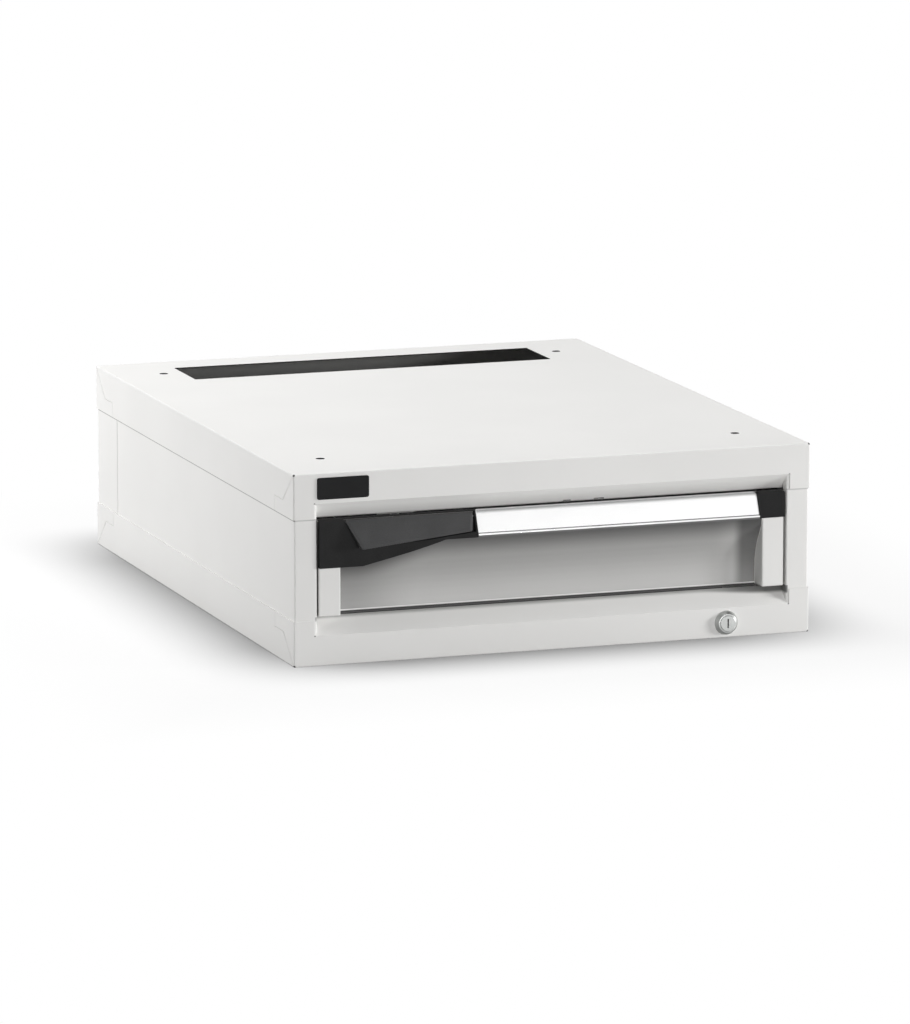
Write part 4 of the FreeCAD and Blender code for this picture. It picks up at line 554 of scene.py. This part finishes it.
SLOT_FINISHES = {
    "housing_paint": housing_paint, "drawer_paint": drawer_paint, "zinc_steel": zinc, "roller_plastic": roller_nylon,
    "buffer_rubber": rubber, "lock_metal": lock_metal, "black_plastic": black, "lever_plastic": lever_grey,
    "badge_plastic": badge_black, "handle_metal": handle_metal, "label_paper": paper, "label_clear": clear,
}
FINISHES = {slot: finish.material for slot, finish in SLOT_FINISHES.items()}
PACKED_SLOTS = {name: obj.data.materials[0].name.split(".")[0] for name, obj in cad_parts.items()}
for name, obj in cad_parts.items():
    for i in range(len(obj.material_slots)):
        obj.material_slots[i].material = FINISHES[PACKED_SLOTS[name]]


# Housing: side panels and rear panel as folded sheets, the covers with softened edges

SHEET, BEND = 1.2, 1.6
side_low, side_high = span("left_side_panel")
stile_right = side_high[0] + 1.9
seam_front, panel = side_high[1], side_low[0]
left_side = [
    (panel + 11, seam_front), (panel, seam_front), (panel, panel), (stile_right, panel), (stile_right, panel + 10),
]
side_parts = [folded(left_side, SHEET, BEND, "xy", side_low[2], side_high[2])]
make_pair("side_panel_{}", side_parts, "housing", "housing_paint", "{}_side_panel")

rear_low, rear_high = span("rear_panel")
wing = [(panel + 11, rear_low[1]), (panel, rear_low[1]), (panel, rear_high[1])]
rear = wing + [(WIDTH - x, y) for x, y in wing[::-1]]
rear_parts = [folded(rear[::-1], SHEET, BEND, "xy", rear_low[2], rear_high[2])]
make("rear_panel_folded", rear_parts, "housing", "housing_paint", "rear_panel")

CAP_END, CAP_SHIFT, CAP_ROUND = 25.2, 2.2, 3.0
BOLT_SIDE, BOLT_FRONT, BOLT_REAR, BOLT_SHIFT, BOLT_GROWTH = 54, 79.6, 629.6, 1.0, 0.12


def cover_details(work):
    """Rounds the corner of the flange where it runs on below the sloped strip, widens the strip, and
    widens the bolt holes."""
    def at(vertex):
        return (np.array(vertex.co) - CORNER) * 1000

    corner = []
    for edge in work.edges:
        x, _, z = np.array([at(v) for v in edge.verts]).T
        x, z = np.minimum(x, WIDTH - x), np.minimum(z, HEIGHT - z)
        if (abs(x - CAP_END) < 0.1).all() and (abs(z - FLANGE) < 0.1).all():
            corner.append(edge)
    bmesh.ops.bevel(work, geom=corner, offset=CAP_ROUND / 1000, segments=6, profile=0.5, affect="EDGES")
    for vertex in work.verts:
        x, y, _ = at(vertex)
        side = min(x, WIDTH - x)
        if y < 20 and CAP_END - CAP_ROUND - 0.5 < side < CAP_END + 0.5:
            vertex.co.x += math.copysign(CAP_SHIFT / 1000, vertex.co.x)
        across = x - (BOLT_SIDE if x < WIDTH / 2 else WIDTH - BOLT_SIDE)
        along = y - (BOLT_FRONT if y < DEPTH / 2 else BOLT_REAR)
        if np.hypot(across, along) < 6:
            vertex.co.x += (across * BOLT_GROWTH + BOLT_SHIFT) / 1000
            vertex.co.y += along * BOLT_GROWTH / 1000


for node in ("top_cover", "base_tray"):
    edged(node, "housing", "housing_paint", 0.25, 2, cover_details)
for side in ("left", "right"):
    edged(side + "_uprights", "housing", "zinc_steel", 0.3)

badge_low, badge_high = span("badge_plate")
badge_low, badge_high = badge_low - (1.0, 0, 0.2), badge_high - (0.5, 0, -0.4)


def rectangle(low, high):
    """Four corners of a box seen from the front."""
    return [(low[0], low[2]), (high[0], low[2]), (high[0], high[2]), (low[0], high[2])]


make("badge", [moulded(rectangle(badge_low, badge_high), 2.2, [(0, -0.05), *quarter(0.6, badge_low[1])])],
     "housing", "badge_plastic", "badge_plate")


# Lock

ring_low, ring_high = span("lock_barrel")
lock_x, lock_z = (ring_low[0] + ring_high[0]) / 2, (ring_low[2] + ring_high[2]) / 2
LOCK = (lock_x, 0.0, lock_z)
barrel = softened(
    [(9.2, 0.2), (12.75, -0.02), (12.7, -0.6), (9.85, ring_low[1]), (8.35, ring_low[1]), (8.3, -2.4), (6.1, -2.4),
     (6.1, 24.9), (9.5, 24.9), (9.5, 0.4)],
    [0.02, 0.3, 0.7, 0.3, 0.1, 0.1, 0.2, 0.3],
)
make("lock_barrel_turned", [turned(barrel, LOCK, "y", 64, closed=True)], "housing", "lock_metal", "lock_barrel")
edged("lock_plug", "lock", "lock_metal", 0.35, 3)
edged("lock_nut", "housing", "lock_metal", 0.4)
edged("lock_cam", "lock", "zinc_steel", 0.3)
edged("cam_screw", "lock", "zinc_steel", 0.3)


# Drawer front: two posts and the recess panel between them, one folded sheet

front_low, front_high = span("drawer_front")
FACE, TRAY_FRONT = front_low[1], front_high[1]
POST = 24.0
RECESS_FOOT = front_low[2] + 9
NOSE_WINDOW = (109.5, 121.5, 16.3)


def recess_section(flange_back, shy):
    """The panel between the posts, seen from its left end: a hollow sweep down to a fold and a short hem."""
    sweep = [(FACE + back, front_low[2] + up) for back, up in (
        (0, 71.6), (2.0, 64.9), (5.8, 58.2), (10.5, 51.5), (14.3, 44.8), (17.1, 38.1), (19.0, 31.4), (20.0, 24.7),
        (20.35, 18.0), (20.35, 9.6), (19.7, 0.0),
    )]
    corners = [(flange_back, front_high[2]), (FACE, front_high[2]), *sweep, (FACE + 16, front_low[2])]
    return sheet_end(corners, SHEET, [1.9] + [20] * 9 + [4, 1.9], shy)


def post(left, right):
    """A post: a pan open at the back. Its outline turns round the front face, and each level of the wall
    is that outline moved in."""
    corners = rectangle((left, 0, front_low[2]), (right, 0, front_high[2]))
    outer = [(0, TRAY_FRONT), *quarter(1.5, FACE)]
    inner = [(inset + SHEET, depth + SHEET) for inset, depth in outer[1:]]
    levels = [(SHEET, TRAY_FRONT - 0.01), *inner][::-1] + outer
    return moulded(corners, 1.2, levels)


stations = []
for along, back, shy in (
    (front_low[0] + POST, TRAY_FRONT, BURR), (front_low[0] + POST + BURR, TRAY_FRONT, 0),
    (NOSE_WINDOW[0], TRAY_FRONT, 0), (NOSE_WINDOW[0] + 0.02, NOSE_WINDOW[2], 0),
    (NOSE_WINDOW[1] - 0.02, NOSE_WINDOW[2], 0), (NOSE_WINDOW[1], TRAY_FRONT, 0),
    (front_high[0] - POST - BURR, TRAY_FRONT, 0), (front_high[0] - POST, TRAY_FRONT, BURR),
):
    stations.append(placed(recess_section(back, shy), "yz", along))
POST_EASE = 0.5
front_parts = [skin(stations), post(front_low[0] + POST_EASE, front_low[0] + POST),
               post(front_high[0] - POST, front_high[0])]
TAB, TAB_TOP = 12.5, 141.6
for left in (front_low[0] + POST - SHEET, front_high[0] - POST - TAB):
    tab_low = (left, TRAY_FRONT - SHEET, RECESS_FOOT)
    front_parts.append(block(tab_low, (left + TAB + SHEET, TRAY_FRONT, TAB_TOP), 0.4, 0.3))
make("drawer_front_folded", front_parts, "drawer", "drawer_paint", "drawer_front", front_paint.material)


# Handle profile, label strip and clear cover

grip_low, grip_high = span("handle_profile")
GRIP_TOP, GRIP_FOOT = grip_high[2], grip_low[2]
SLOPE = 11 / 26.1
TOP_Y = 1.0


def slope_y(z):
    """Depth of the handle's sloping face at a height."""
    return TOP_Y - SLOPE * (GRIP_TOP - z)


label_top, label_foot = GRIP_TOP - 0.9, GRIP_FOOT + 3.6
RECESS, HEEL_Y = 1.2, 1.2
chin = GRIP_FOOT + 2.5
grip_corners = [
    (FACE, GRIP_FOOT), (FACE, GRIP_TOP), (TOP_Y, GRIP_TOP), (slope_y(label_top), label_top),
    (slope_y(label_top) + RECESS, label_top), (slope_y(label_foot) + RECESS, label_foot),
    (slope_y(label_foot), label_foot),
    (slope_y(chin), chin), (slope_y(chin) + 0.65, GRIP_FOOT), (slope_y(chin) + 2.4, GRIP_FOOT),
    (HEEL_Y, GRIP_FOOT + (HEEL_Y - slope_y(chin) - 2.4) / SLOPE), (HEEL_Y, GRIP_FOOT),
]
grip_radii = [0.3, 0.5, 0.3, 0.12, 0.1, 0.1, 0.25, 0.3, 0.3, 0.6, 1.0, 0.3]
make("handle_grip", [bar(grip_corners, grip_radii, "yz", grip_low[0], grip_high[0], 0.2)], "drawer",
     "handle_metal", "handle_profile")


def label_plate(front, back, top, foot, ends):
    """A layer in the label recess: a slanted section between two depths forward of the recess floor."""
    ends_at = ((slope_y(top) + RECESS, top), (slope_y(foot) + RECESS, foot))
    corners = [(floor_y - depth, z) for (floor_y, z), depths in zip(ends_at, ((back, front), (front, back)))
               for depth in depths]
    return bar(corners, 0.12, "yz", grip_low[0] + ends, grip_high[0] - ends, 0.12, 3)


make("label_card", [label_plate(0.30, 0.0, label_top - 0.1, label_foot + 0.9, 0.8)], "drawer", "label_paper",
     "label_strip")
make("label_window", [label_plate(1.0, 0.32, label_top - 0.05, label_foot + 0.75, 0.6)], "drawer", "label_clear",
     "label_cover")


# Latch housing and right end cap

cap_low, cap_high = span("latch_housing")
CAP_FACE = -1.0
LEFT, LATCH_FOOT, RIGHT = cap_low[0], cap_low[2], cap_high[0]
RAMP = (LEFT + 46.9, LEFT + 133.7)
RIM = RIGHT - 2.3
LEVER = {"left": LEFT + 27.1, "foot": LEFT + 42.6, "right": RIM - 0.5, "top": GRIP_TOP - 2.3}
LEVER["right_foot"] = LEVER["right"] - 3.6
LEVER["left_foot_z"], LEVER["right_foot_z"] = LEVER["top"] - 29.7, LEVER["top"] - 18.7
POCKET_FOOT, POCKET_TOP, BROW = 141.8, 147.7, GRIP_TOP - 1.4


def latch_foot(x):
    """Height of the latch housing's lower edge: level, then a ramp, then level."""
    return np.interp(x, [LEFT, RAMP[0], RAMP[1], RIGHT], [LATCH_FOOT, LATCH_FOOT, GRIP_FOOT, GRIP_FOOT])


def lever_foot(x):
    """Height of the lever's lower edge."""
    return np.interp(x, [LEVER["foot"], LEVER["right_foot"]], [LEVER["left_foot_z"], LEVER["right_foot_z"]])


plate_corners = [
    (LEFT, LATCH_FOOT), (RAMP[0], LATCH_FOOT), (RAMP[1], GRIP_FOOT), (RIGHT - 0.5, GRIP_FOOT),
    (RIGHT - 0.5, POCKET_FOOT), (LEVER["left"] + 3.9, POCKET_FOOT), (LEVER["left"] - 0.8, BROW - 0.2),
    (LEVER["left"] - 0.8, GRIP_TOP), (LEFT, GRIP_TOP),
]


def plate_face(x, z):
    """Depth of the latch housing's flat face, with a soft chamfer along its top."""
    return CAP_FACE + 0.35 * np.clip(z - (GRIP_TOP - 2.6), 0, None)


latch_radii = [1.2, 6, 4, 0.5, 0.5, 0.5, 0.3, 0.3, 1.2]
latch_parts = [moulded(plate_corners, latch_radii, [(0, FACE), *quarter(0.5, CAP_FACE)])]
latch_parts.append(block((LEVER["left"] - 3, CAP_FACE + 1.2, BROW), (RIM + 1, FACE, GRIP_TOP), 0.4, 0.4))

rim_section = [
    (FACE, GRIP_FOOT), (FACE, GRIP_TOP), (TOP_Y, GRIP_TOP), (slope_y(chin), chin), (slope_y(chin) + 0.65, GRIP_FOOT),
]
latch_parts.append(bar(rim_section, [0.2, 0.6, 0.9, 0.8, 0.4], "yz", RIM, RIGHT, 0.5))

band = []
for x in np.linspace(RAMP[0] - 12, RIM + 0.6, 48):
    foot, top = latch_foot(x) + 0.05, lever_foot(x) - 0.9
    reach = np.clip((x - RAMP[0] + 12) / (RAMP[1] - RAMP[0] + 12), 0, 1)
    reach = reach * reach * (3 - 2 * reach)
    front_foot = (CAP_FACE + 0.3) * (1 - reach) + (slope_y(foot + 1.4)) * reach
    front_top = (CAP_FACE + 0.3) * (1 - reach) + (slope_y(top)) * reach
    corners = [(FACE - 0.6, foot), (FACE - 0.6, top), (front_top, top), (front_foot, foot)]
    band.append(placed(outline(corners, 0.45, 0, 4), "yz", x))
latch_parts.append(skin(band))
for left, right in ((LEVER["left"] - 10.4, LEVER["left"] - 0.6), (RIM, RIGHT - 1.2)):
    latch_parts.append(block((left, FACE - 0.5, POCKET_FOOT), (right, FACE + 3, POCKET_TOP), 0.6, 0.4))
make("latch_case", latch_parts, "drawer", "black_plastic", "latch_housing")

end_low, end_high = span("right_end_cap")
end_corners = [(end_low[0] + 1, end_low[2]), (end_high[0], end_low[2]), (end_high[0], end_high[2]),
               (end_low[0] + 1, end_high[2])]
corner_turn = np.linspace(0, math.pi / 2, 7)
lip = [(end_low[0] + 1.5, GRIP_TOP - 4.4), (end_low[0] + 1.5, GRIP_TOP - 0.05), (end_low[0] - 4.2, GRIP_TOP - 0.05)]
lip += [(end_low[0] - 4.2 + 4.2 * math.sin(t), GRIP_TOP - 4.4 + 4.2 * math.cos(t)) for t in corner_turn]
end_parts = [
    moulded(end_corners, [0.8, 0.8, 4.0, 0.8], [(0, FACE), *quarter(0.8, lambda x, z: plate_face(x, z - 1.6))]),
    bar(rim_section, [0.2, 0.6, 0.9, 0.8, 0.4], "yz", end_low[0], end_low[0] + 2, 0.5),
    moulded(lip, 0.1, [(0, 1.5), (0, lambda x, z: slope_y(z) - 0.1), (0.1, lambda x, z: slope_y(z) - 0.2)], 2),
]
make("end_cap_right", end_parts, "drawer", "black_plastic", "right_end_cap")


# Latch lever, hook, pin and spring

def lever_face(x, z):
    """Depth of the lever's face, parallel to the handle's slope."""
    return slope_y(z) - 1.1


def lever_heel(x, z):
    """Depth of the lever's back, just in front of the latch housing."""
    return np.interp(z, [LEVER["left_foot_z"], 142.1, LEVER["top"]], [-3.4, -1.3, -0.6])


lever_corners = [
    (LEVER["foot"], LEVER["left_foot_z"]), (LEVER["right_foot"], LEVER["right_foot_z"]),
    (LEVER["right"], LEVER["top"]), (LEVER["left"], LEVER["top"]),
]


def lever_border(drop):
    """Depth of the lever's border a drop behind its face. The drop fades out along the top edge."""
    return lambda x, z: lever_face(x, z) + drop * np.clip((LEVER["top"] - z) / 4, 0.12, 1)


lever_levels = [
    (0.0, lever_heel), (0.0, lever_border(1.5)), (0.12, lever_border(1.15)), (0.40, lever_border(0.9)),
    (2.60, lever_border(0.16)), (3.00, lever_border(0.05)), (3.40, lever_face),
]
lever_parts = [moulded(lever_corners, [2.2, 2.0, 4.2, 1.0], lever_levels, 6)]
pin_low, pin_high = span("latch_pin")
pivot = (pin_low + pin_high) / 2
hook_low, hook_high = span("latch_hook")
spring_low, spring_high = span("latch_spring")
for start, end in ((LEVER["left"] + 2.6, spring_low[0] - 0.4), (spring_high[0] + 0.4, LEVER["right"] - 2.6)):
    tube = [(1.06, 0.0), (1.6, 0.0), (1.9, 0.3), (1.9, end - start - 0.3), (1.6, end - start), (1.06, end - start)]
    lever_parts.append(turned(tube, (start, pivot[1], pivot[2]), "x", 32, closed=True))
    web_low = (start, -1.6, pivot[2] - 1.27)
    lever_parts.append(block(web_low, (end, pivot[1] - 1.1, pivot[2] + 1.27), 0.3, 0.3))
for start in (hook_low[0] - 3, hook_high[0] + 0.05):
    arm_high = (start + 2.95, pivot[1] + 7, pivot[2] + 1.9)
    lever_parts.append(block((start, pivot[1] + 1.2, pivot[2] - 1.9), arm_high, 0.6))
make("lever_paddle", lever_parts, "latch", "lever_plastic", "latch_lever")

hook_y = (pivot[1] + 2.0, hook_high[1])
hook_corners = [
    (hook_y[0], pivot[2] - 1.6), (hook_y[1], pivot[2] - 1.6), (hook_y[1], hook_high[2]),
    (hook_y[1] - 4.1, hook_high[2]), (hook_y[1] - 4.1, pivot[2] + 1.6), (hook_y[0], pivot[2] + 1.6),
]
make("hook", [bar(hook_corners, [0.3, 1.2, 0.5, 0.9, 0.6, 0.3], "yz", hook_low[0], hook_high[0], 0.35)], "latch",
     "zinc_steel", "latch_hook")


def round_pin(low, high, axis_y, axis_z):
    """A pin along x with domed ends."""
    radius, length = (high[2] - low[2]) / 2, high[0] - low[0]
    turn = np.linspace(0.1, math.pi / 2, 5)
    dome = [(radius * math.sin(t), 0.5 * radius * (1 - math.sin(t))) for t in turn]
    return turned(dome + [(r, length - a) for r, a in dome[::-1]], (low[0], axis_y, axis_z), "x", 24)


PIN_CUT = 12
pin_low[0] += PIN_CUT
make("pin", [round_pin(pin_low, pin_high, pivot[1], pivot[2])], "drawer", "zinc_steel", "latch_pin")
rivet_low, rivet_high = span("hook_rivet")
rivet_mid = (rivet_low + rivet_high) / 2
make("hook_pin", [round_pin(rivet_low, rivet_high, rivet_mid[1], rivet_mid[2])], "latch", "zinc_steel",
     "hook_rivet")

coil_turns, wire, coil_radius = 9, 0.32, 1.55
sweep = np.linspace(0, 2 * math.pi * coil_turns, coil_turns * 20 + 1)
out = np.stack([np.zeros_like(sweep), np.cos(sweep), np.sin(sweep)], -1)
run = np.array([1.0, 0, 0])
length = spring_high[0] - spring_low[0] - 2 * wire
centres = out * coil_radius + run * (spring_low[0] + wire + length * sweep / sweep[-1])[:, None]
centres += (0, pivot[1], pivot[2])
ring = np.linspace(0, 2 * math.pi, 10, endpoint=False)
coil = centres[:, None] + wire * (np.cos(ring)[None, :, None] * out[:, None] + np.sin(ring)[None, :, None] * run)
make("coil_spring", [skin(coil)], "latch", "zinc_steel", "latch_spring")


# Drawer tray and its fittings

edged("drawer_tray", "drawer", "drawer_paint", 0.3)
edged("latch_strike", "housing", "housing_paint", 0.3)
edged("lock_catch_plate", "drawer", "zinc_steel", 0.3)


def solids(node):
    """Boxes of the separate solids of a CAD node, from the points that its triangles join."""
    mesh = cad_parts[node].data
    work = bmesh.new()
    work.from_mesh(mesh)
    bmesh.ops.remove_doubles(work, verts=work.verts, dist=1e-6)
    left, boxes = set(work.verts), []
    while left:
        grown = [left.pop()]
        for vertex in grown:
            for edge in vertex.link_edges:
                other = edge.other_vert(vertex)
                if other in left:
                    left.discard(other)
                    grown.append(other)
        points = (np.array([v.co for v in grown]) - CORNER) * 1000
        boxes.append((points.min(0), points.max(0)))
    work.free()
    return sorted(boxes, key=lambda box: tuple(np.round(box[0], 2)))


def set_rivet(low, high, axis, radius=1.6, head=0.8):
    """A rivet with a domed head at both ends of its grip."""
    axis_at = "xyz".index(axis)
    length = (high - low)[axis_at]
    wide = sorted(high - low)[1] / 2 if axis_at != 0 else (high[2] - low[2]) / 2
    dome = [(wide * s, head * (1 - math.sqrt(1 - (0.92 * s) ** 2)) * 0.9) for s in (0.08, 0.35, 0.6, 0.8, 0.94, 1.0)]
    profile = dome + [(wide, head), (radius, head)]
    profile += [(r, length - a) for r, a in profile[::-1]]
    centre = (low + high) / 2
    centre[axis_at] = low[axis_at]
    return turned(profile, centre, axis, 24)


for node, axis, body, slot in (
    ("seam_rivets", "y", "housing", "housing_paint"), ("cabinet_rail_rivets", "x", "housing", "zinc_steel"),
    ("strike_rivets", "y", "housing", "housing_paint"), ("front_rivets", "y", "drawer", "drawer_paint"),
    ("drawer_rail_rivets", "x", "drawer", "zinc_steel"), ("catch_rivets", "z", "drawer", "zinc_steel"),
):
    sunk = np.array([0, 1.9 if node == "front_rivets" else 0, 0])
    parts = [set_rivet(low + sunk, high, axis) for low, high in solids(node)]
    make(node + "_set", parts, body, slot, node)

for node in ("handle_screws", "cap_screws"):
    parts = []
    for low, high in solids(node):
        long, x, z = high[1] - low[1], (low[0] + high[0]) / 2, (low[2] + high[2]) / 2
        head = [(0.3, 0.7), (1.1, 0.7), (1.3, 0.0), (2.2, 0.08), (3.1, 0.5), (3.5, 1.3), (3.5, 2.4), (2.0, 2.4)]
        shank = [(2.0, long - 0.6), (1.4, long), (0.3, long)]
        parts.append(turned([(r, -a) for r, a in head + shank], (x, high[1], z), "y", 32))
    make(node + "_set", parts, "drawer", "zinc_steel", node)


# Runners

RAIL = 1.8
for name, side in (("cabinet_rail", 1), ("drawer_rail", -1)):
    low, high = span("left_" + name)
    mouth, back = (high[0], low[0]) if side > 0 else (low[0], high[0])
    corners = [(mouth, low[2]), (back, low[2]), (back, high[2]), (mouth, high[2])]
    if side > 0:
        corners = corners[::-1]
    parts = [folded(corners, RAIL, 2.6, "xz", low[1], high[1])]
    make_pair(name + "_{}", parts, "housing" if side > 0 else "drawer", "zinc_steel", "{}_" + name)

bar_low, bar_high = span("left_middle_rail")
middle = [bar(rectangle(bar_low, bar_high), 1.2, "xz", bar_low[1], bar_high[1], 0.6)]
make_pair("middle_rail_{}_bar", middle, "{}_runner", "zinc_steel", "{}_middle_rail")

bar_x = (bar_low[0] + bar_high[0]) / 2
studs = []
for low, high in solids("left_roller_studs"):
    out_side = 1 if high[0] - bar_x > bar_x - low[0] else -1
    y, z = (low[1] + high[1]) / 2, (low[2] + high[2]) / 2
    length = high[0] - low[0]
    profile = [(0.4, 0.0), (2.6, 0.0), (3.0, 0.4), (3.0, 4.0), (5.7, 4.0), (6.0, 4.3), (6.0, 5.0), (4.0, 5.0),
               (4.0, length - 1.6), (5.6, length - 1.6), (6.0, length - 1.2), (5.5, length - 0.5),
               (3.4, length - 0.05), (2.2, length), (1.8, length - 0.5), (0.4, length - 0.7)]
    start = low[0] if out_side > 0 else high[0]
    studs.append(turned([(r, out_side * a) for r, a in profile], (start, y, z), "x", 32))
make_pair("roller_studs_{}", studs, "{}_runner", "zinc_steel", "{}_roller_studs")

for place, out_side in (("outer", -1), ("inner", 1)):
    for end in ("front", "rear"):
        node = f"{place}_roller_{end}"
        low, high = span("left_" + node)
        y, z, width = (low[1] + high[1]) / 2, (low[2] + high[2]) / 2, high[0] - low[0]
        rim = (high[2] - low[2]) / 2
        profile = [
            (4.1, 0.0), (6.0, 0.0), (6.6, 0.5), (10.6, 0.5), (11.4, 0.1), (rim - 0.8, 0.0), (rim - 0.2, 0.3),
            (rim, 1.0), (rim, width - 1.0), (rim - 0.2, width - 0.3), (rim - 0.8, width), (11.4, width - 0.1),
            (10.6, width - 0.7), (7.6, width - 0.7), (6.9, width), (6.3, width - 0.2), (6.25, width - 2.0),
            (4.1, width - 2.0),
        ]
        start = low[0] if out_side > 0 else high[0]
        parts = [turned([(r, out_side * a) for r, a in profile], (start, y, z), "x", 56, closed=True)]
        make_pair("roller_{}_" + f"{place}_{end}", parts, "{}_" + node, "roller_plastic", "{}_" + node)

make("rail_buffers_moulded", [block(low, high, 1.5, 0.8) for low, high in solids("rail_buffers")], "housing",
     "buffer_rubber", "rail_buffers")


# Floor, light and camera. The camera and mirrored rays see a floor that glows white, with a painted shadow near the
# unit, over a faint lit share that fades out far from it. All other rays meet a plain grey floor.

floor_mesh = bpy.data.meshes.new("floor")
floor_mesh.from_pydata([(-30, -30, 0), (30, -30, 0), (30, 30, 0), (-30, 30, 0)], [], [(0, 1, 2, 3)])
floor = bpy.data.objects.new("floor", floor_mesh)
bpy.context.scene.collection.objects.link(floor)
FLOOR_BOUNCE, FLOOR_LIT, FLOOR_GLOW, SHADE, REACH = 0.4, 0.20, 0.765, 1.08, 125
ground = Finish("floor_white", Roughness=1.0, Specular_IOR_Level=0.0, Emission_Strength=1.0)
rays = ground.nodes.new("ShaderNodeLightPath")
seen = Value(ground, rays.outputs["Is Camera Ray"]).most(Value(ground, rays.outputs["Is Glossy Ray"]))
x, y, _ = ground.measure()
aside, ahead = abs(x - WIDTH / 2) - WIDTH / 2, abs(y - DEPTH / 2) - DEPTH / 2
# Painted shadow on the floor, strongest under and beside the unit's footprint.
floor_painted_shadow = aside.fall(-REACH, REACH) * ahead.fall(-REACH, REACH)
far = aside.most(ahead).rise(60, 320)
glow = (FLOOR_GLOW - floor_painted_shadow * SHADE).most(0) * (1 - far) + far
ground.feed(
    Base_Color=ground.colour(seen, [FLOOR_BOUNCE] * 3, ground.colour(far, [FLOOR_LIT] * 3, [0.0] * 3)),
    Emission_Color=ground.colour(seen * glow, [0.0] * 3, [1.0] * 3),
)
floor_mesh.materials.append(ground.material)

AMBIENT = 0.02
world = bpy.data.worlds.new("studio")
world.use_nodes = True
bpy.context.scene.world = world
sky = world.node_tree
seen = sky.nodes.new("ShaderNodeLightPath")
dim, white = sky.nodes["Background"], sky.nodes.new("ShaderNodeBackground")
dim.inputs["Color"].default_value = (1, 1, 1, 1)
dim.inputs["Strength"].default_value = AMBIENT
white.inputs["Color"].default_value = (1, 1, 1, 1)
either = sky.nodes.new("ShaderNodeMath")
either.operation, either.use_clamp = "ADD", True
sky.links.new(seen.outputs["Is Camera Ray"], either.inputs[0])
sky.links.new(seen.outputs["Is Glossy Ray"], either.inputs[1])
blend = sky.nodes.new("ShaderNodeMixShader")
sky.links.new(either.outputs[0], blend.inputs[0])
sky.links.new(dim.outputs[0], blend.inputs[1])
sky.links.new(white.outputs[0], blend.inputs[2])
sky.links.new(blend.outputs[0], sky.nodes["World Output"].inputs["Surface"])

LAMPS = (
    ("above", (0.1, -0.1, 2.6), (0, 0, 0.1), (1.6, 1.2), 40.5),
    ("right_front", (2.4, -1.3, 0.4), (0.1, -0.35, 0.1), (0.6, 0.5), 44.5),
    ("front_low", (0, -2.9, 0.2), (0, -0.35, 0.1), (1.6, 0.3), 26.5),
    ("left_wide", (-2.3, 0.5, 1.2), (-0.28, 0.1, 0.1), (1.2, 1.0), 36.0),
    ("left_near", (-1.0, 0.9, 0.7), (-0.28, 0.35, 0.1), (0.4, 0.4), 4.4),
)
for name, place, target, size, power in LAMPS:
    lamp = bpy.data.lights.new(name, "AREA")
    lamp.shape, lamp.size, lamp.size_y, lamp.energy = "RECTANGLE", *size, power
    holder = bpy.data.objects.new(name, lamp)
    holder.location = place
    holder.rotation_euler = (Vector(target) - Vector(place)).to_track_quat("-Z", "Y").to_euler()
    holder.visible_camera = False
    bpy.context.scene.collection.objects.link(holder)

AZIMUTH, ELEVATION = math.radians(-19.112), math.radians(10.695)
back = Vector((math.sin(AZIMUTH) * math.cos(ELEVATION), -math.cos(AZIMUTH) * math.cos(ELEVATION),
               math.sin(ELEVATION)))
# The camera's place, turn and lens come from a fit to the housing's edges in the photograph.
camera = bpy.data.objects.new("camera", bpy.data.cameras.new("camera"))
camera.data.lens, camera.data.sensor_width = 266.825, 36.0
camera.data.clip_start, camera.data.clip_end = 0.1, 100.0
camera.location = (-2.6052, -7.5585, 1.5914)
camera.rotation_euler = (-back).to_track_quat("-Z", "Y").to_euler()
bpy.context.scene.collection.objects.link(camera)
bpy.context.scene.camera = camera
bpy.context.scene.view_settings.view_transform = "Standard"
